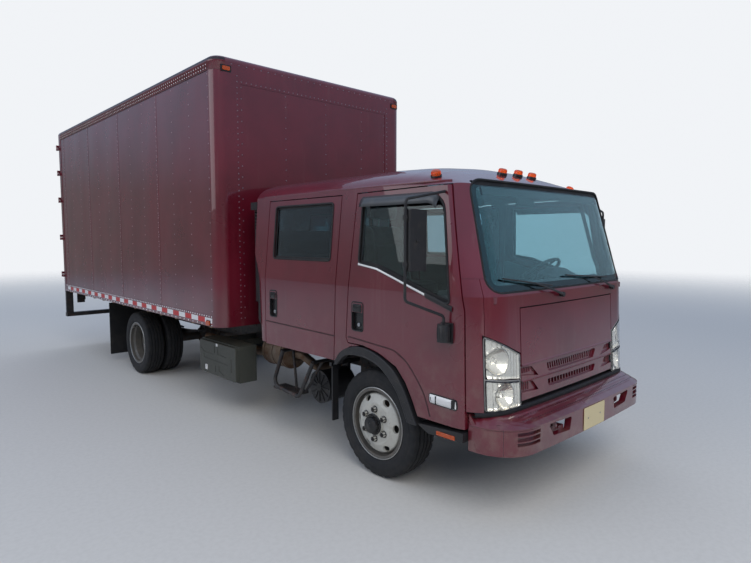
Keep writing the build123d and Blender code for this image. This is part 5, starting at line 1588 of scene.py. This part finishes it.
for x, width, low in ((0.38, 0.035, 1.075), (0.53, 0.045, 1.075), (0.66, 0.028, 1.030)):
    controls.tube([(x, at(0.50), low + 0.10), (x, at(0.575), low)], 0.008, 8, 1)
    controls.box((x - width, x + width), (at(0.572), at(0.590)), (low - 0.045, low + 0.028))
controls.box((-0.93, 0.93), (at(0.62), at(2.14)), (0.9820, 0.9880), 2)
controls.make("cab_controls_and_mats", "chassis", ["plastic", "dark_steel", "rubber"], bevel=0.002, smooth=50)

ROOF_LINE = (
    (0.380, 2.106), (0.430, 2.140), (0.490, 2.175), (0.560, 2.208), (0.650, 2.244),
    (0.760, 2.280), (0.900, 2.309), (1.080, 2.331), (1.300, 2.340), (2.900, 2.340),
)


def roof_under(x, station):
    """Height of the headlining."""
    for (near, low), (far, high) in zip(ROOF_LINE, ROOF_LINE[1:]):
        if near <= station <= far:
            crown = low + (high - low) * (station - near) / (far - near)
    return 2.040 + (crown - 2.098) * (1.0 - 0.45 * (abs(x) / 0.93) ** 3.5)


lining = Shape()
lining.skin([
    [(x, at(station), roof_under(x, station)) for x in between(-0.90, 0.90, 18)]
    for station in between(0.56, 2.66, 18)
])
lining.make("headlining", "chassis", "headlining", smooth=60)

visors = Shape()
for middle in (0.50, -0.50):
    visors.slab(
        rounded(oblong(-0.20, 0.20, -0.075, 0.075), 0.03), 0.016,
        lambda u, v, w: (
            middle + u, at(0.640 + 0.75 * (v + 0.075) + w * 0.4), 2.125 + 0.42 * (v + 0.075) - w,
        ),
    )
visors.make("sun_visors", "chassis", "headlining", bevel=0.004)

inner_mirror = Shape()
inner_mirror.tube([(0.0, at(0.540), 2.140), (0.0, at(0.575), 2.075)], 0.007, 10, 1)
for half, tall, radius, depth, station, slot in (
    (0.115, 0.034, 0.022, 0.018, 0.575, 1), (0.106, 0.027, 0.018, 0.002, 0.5935, 0),
):
    inner_mirror.slab(
        rounded(oblong(-half, half, -tall, tall), radius), depth,
        lambda u, v, w: (u, at(station + w), 2.045 + v), slot,
    )
inner_mirror.make("inner_mirror", "chassis", ["mirror", "plastic"])

pillar_trim = Shape()
for side in (-1, 1):
    rows = []
    for z in (1.00, 1.40, 1.80, 2.06):
        middle = 1.515 - 0.028 * (z - 1.4)
        face = cab_side(1.5, z, 0.045) - 0.004
        section = ((0.0, -0.040), (0.014, -0.034), (0.014, 0.034), (0.0, 0.040))
        rows.append([(side * (face - deep), at(middle + along), z) for deep, along in section])
    pillar_trim.skin(rows)
    path = ((0.395, 1.440), (0.465, 1.62), (0.535, 1.88), (0.585, 2.06))
    pillar_trim.skin([
        [(side * (0.940 - offset - 0.05 * (z - 1.42)), at(s), z) for s, z in path]
        for offset in (0.0, 0.035, 0.07)
    ])
pillar_trim.box((-0.92, 0.92), (at(2.660), at(2.672)), (1.00, 1.545))
pillar_trim.make("pillar_trims", "chassis", "grey_plastic", smooth=50)


# Last fittings: grille ledges, battery latches, frame bolts and mud flap ribs

UPPER_LEDGE = ((0.9775, 0.001), (0.9735, -0.0035), (0.9665, -0.0055), (0.9640, -0.0030), (0.9640, 0.006))
LOWER_LEDGE = ((0.8720, 0.006), (0.8690, -0.0020), (0.8630, -0.0030), (0.8600, 0.0020), (0.8600, 0.006))
front_strip("grille_ledges", "hood_body", "paint", 0.642, 40, ((UPPER_LEDGE, 0.004), (LOWER_LEDGE, 0.0)))

battery = Shape()
for station, z, half, tall in ((3.467, 0.690, 0.016, 0.014), (3.704, 0.428, 0.021, 0.026)):
    battery.box((-1.0585, -1.048), (at(station - half), at(station + half)), (z - tall, z + tall))
    battery.tube([(-1.060, at(station - half * 0.6), z), (-1.060, at(station + half * 0.6), z)], 0.004, 8)
battery.make("battery_latches", "chassis", "bright_trim", bevel=0.003)

bolts = Shape()
for side in (-1, 1):
    for station in between(0.45, 7.97, 32):
        for z in (0.672, 0.798):
            bolts.turned(
                ((-0.001, 0.0125), (0.002, 0.0125), (0.003, 0.0100), (0.0090, 0.0100),
                 (0.0105, 0.0080), (0.0105, 0.0004)),
                (side * 0.425, at(station), z), (side, 0, 0), 6,
            )
bolts.make("frame_rail_bolts", "chassis", "dark_steel", smooth=30)

for hand, side in SIDES:
    flap = Shape()
    for x in between(0.585, 1.073, 8):
        flap.box((side * x - 0.004, side * x + 0.004), (at(6.6040), at(6.6090)), (0.15, 0.76))
    flap.make(f"{hand}_mud_flap_ribs", "chassis", "rubber")


# Camera, floor, sky and lights

SKY = (
    # height of the direction, colour: dark horizon, haze, pale sky
    (0.0, (0.075, 0.070, 0.066)), (0.075, (0.090, 0.088, 0.092)), (0.17, (0.21, 0.27, 0.39)),
    (0.34, (0.33, 0.44, 0.66)), (0.75, (0.36, 0.49, 0.74)),
)
LIGHTS = (
    # name, place, aim, size, power, colour
    ("key", (-5.0, -11.0, 9.0), (0.0, -1.5, 1.2), 9.0, 960.0, (1.0, 0.96, 0.90)),
    ("side", (-12.0, 3.0, 8.0), (0.0, 1.0, 1.2), 12.0, 500.0, (0.97, 0.98, 1.0)),
    ("back", (7.0, 9.0, 10.0), (0.0, 1.0, 1.5), 13.0, 520.0, (1.0, 0.98, 0.95)),
)


def add_camera(scene):
    camera = bpy.data.cameras.new("camera")
    camera.sensor_width = 36.0
    camera.lens = 26.49
    holder = bpy.data.objects.new("camera", camera)
    holder.location = (-3.6832, -5.9111, 1.7783)
    holder.rotation_euler = (radians(90 - 4.49), 0.0, radians(-43.16))
    scene.collection.objects.link(holder)
    scene.camera = holder


def add_floor(scene):
    """A pale floor that fades out with distance."""
    mesh = bpy.data.meshes.new("floor")
    mesh.from_pydata([(-60, -60, 0), (60, -60, 0), (60, 60, 0), (-60, 60, 0)], [], [(0, 1, 2, 3)])
    ground = Finish("pale_floor", (0.62, 0.60, 0.56), 0.85)
    ground.stain((0.59, 0.57, 0.53), (30.0, 6.0), 0.35, 0.7)
    mesh.materials.append(ground.done())
    far = ground.node("ShaderNodeVectorMath", operation="LENGTH")
    ground.link(ground.place, far.inputs[0])
    clear = ground.node("ShaderNodeBsdfTransparent")
    fade = ground.node("ShaderNodeMixShader")
    ground.link(ground.band(far.outputs["Value"], 7.5, 30.0), fade.inputs["Fac"])
    ground.link(ground.shader.outputs["BSDF"], fade.inputs[1])
    ground.link(clear.outputs["BSDF"], fade.inputs[2])
    ground.link(fade.outputs["Shader"], ground.tree.nodes["Material Output"].inputs["Surface"])
    plane = bpy.data.objects.new("floor", mesh)
    scene.collection.objects.link(plane)


def add_world(scene):
    """A soft sky for light and reflections, and a pale background for the camera."""
    world = bpy.data.worlds.new("studio")
    world.use_nodes = True
    scene.world = world
    nodes, links = world.node_tree.nodes, world.node_tree.links
    sky = nodes["Background"]
    place = nodes.new("ShaderNodeTexCoord")
    split = nodes.new("ShaderNodeSeparateXYZ")
    ramp = nodes.new("ShaderNodeValToRGB")
    links.new(place.outputs["Generated"], split.inputs["Vector"])
    links.new(split.outputs["Z"], ramp.inputs["Fac"])
    stops = ramp.color_ramp.elements
    for number, (height, colour) in enumerate(SKY):
        stop = stops[number] if number < 2 else stops.new(height)
        stop.position = height
        stop.color = (*colour, 1.0)
    sky.inputs["Strength"].default_value = 0.80
    links.new(ramp.outputs["Color"], sky.inputs["Color"])
    seen = nodes.new("ShaderNodeBackground")
    seen.inputs["Color"].default_value = (0.88, 0.90, 0.93, 1.0)
    seen.inputs["Strength"].default_value = 1.0

    def math(operation, first, second):
        node = nodes.new("ShaderNodeMath")
        node.operation = operation
        links.new(first, node.inputs[0])
        if isinstance(second, float):
            node.inputs[1].default_value = second
        else:
            links.new(second, node.inputs[1])
        return node.outputs["Value"]

    # A ray that has bounced off a matt surface lights the object, so it sees only the sky
    path = nodes.new("ShaderNodeLightPath").outputs
    direct = math("LESS_THAN", path["Diffuse Depth"], 0.5)
    seen_by = path["Is Camera Ray"]
    for ray, share in (("Is Transmission Ray", 1.0), ("Is Glossy Ray", 0.12)):
        scaled = math("MULTIPLY", math("MULTIPLY", path[ray], direct), share)
        seen_by = math("MAXIMUM", seen_by, scaled)
    mix = nodes.new("ShaderNodeMixShader")
    links.new(seen_by, mix.inputs["Fac"])
    links.new(sky.outputs["Background"], mix.inputs[1])
    links.new(seen.outputs["Background"], mix.inputs[2])
    links.new(mix.outputs["Shader"], nodes["World Output"].inputs["Surface"])


def add_lights(scene):
    for name, place, aim, size, energy, tint in LIGHTS:
        lamp = bpy.data.lights.new(name, "AREA")
        lamp.shape = "SQUARE"
        lamp.size = size
        lamp.energy = energy
        lamp.color = tint
        carrier = bpy.data.objects.new(name, lamp)
        carrier.location = place
        carrier.rotation_euler = (Vector(aim) - Vector(place)).to_track_quat("-Z", "Y").to_euler()
        carrier.visible_glossy = name == "side"
        scene.collection.objects.link(carrier)


stage = bpy.context.scene
stage.view_settings.view_transform = "Standard"
add_camera(stage)
add_floor(stage)
add_world(stage)
add_lights(stage)
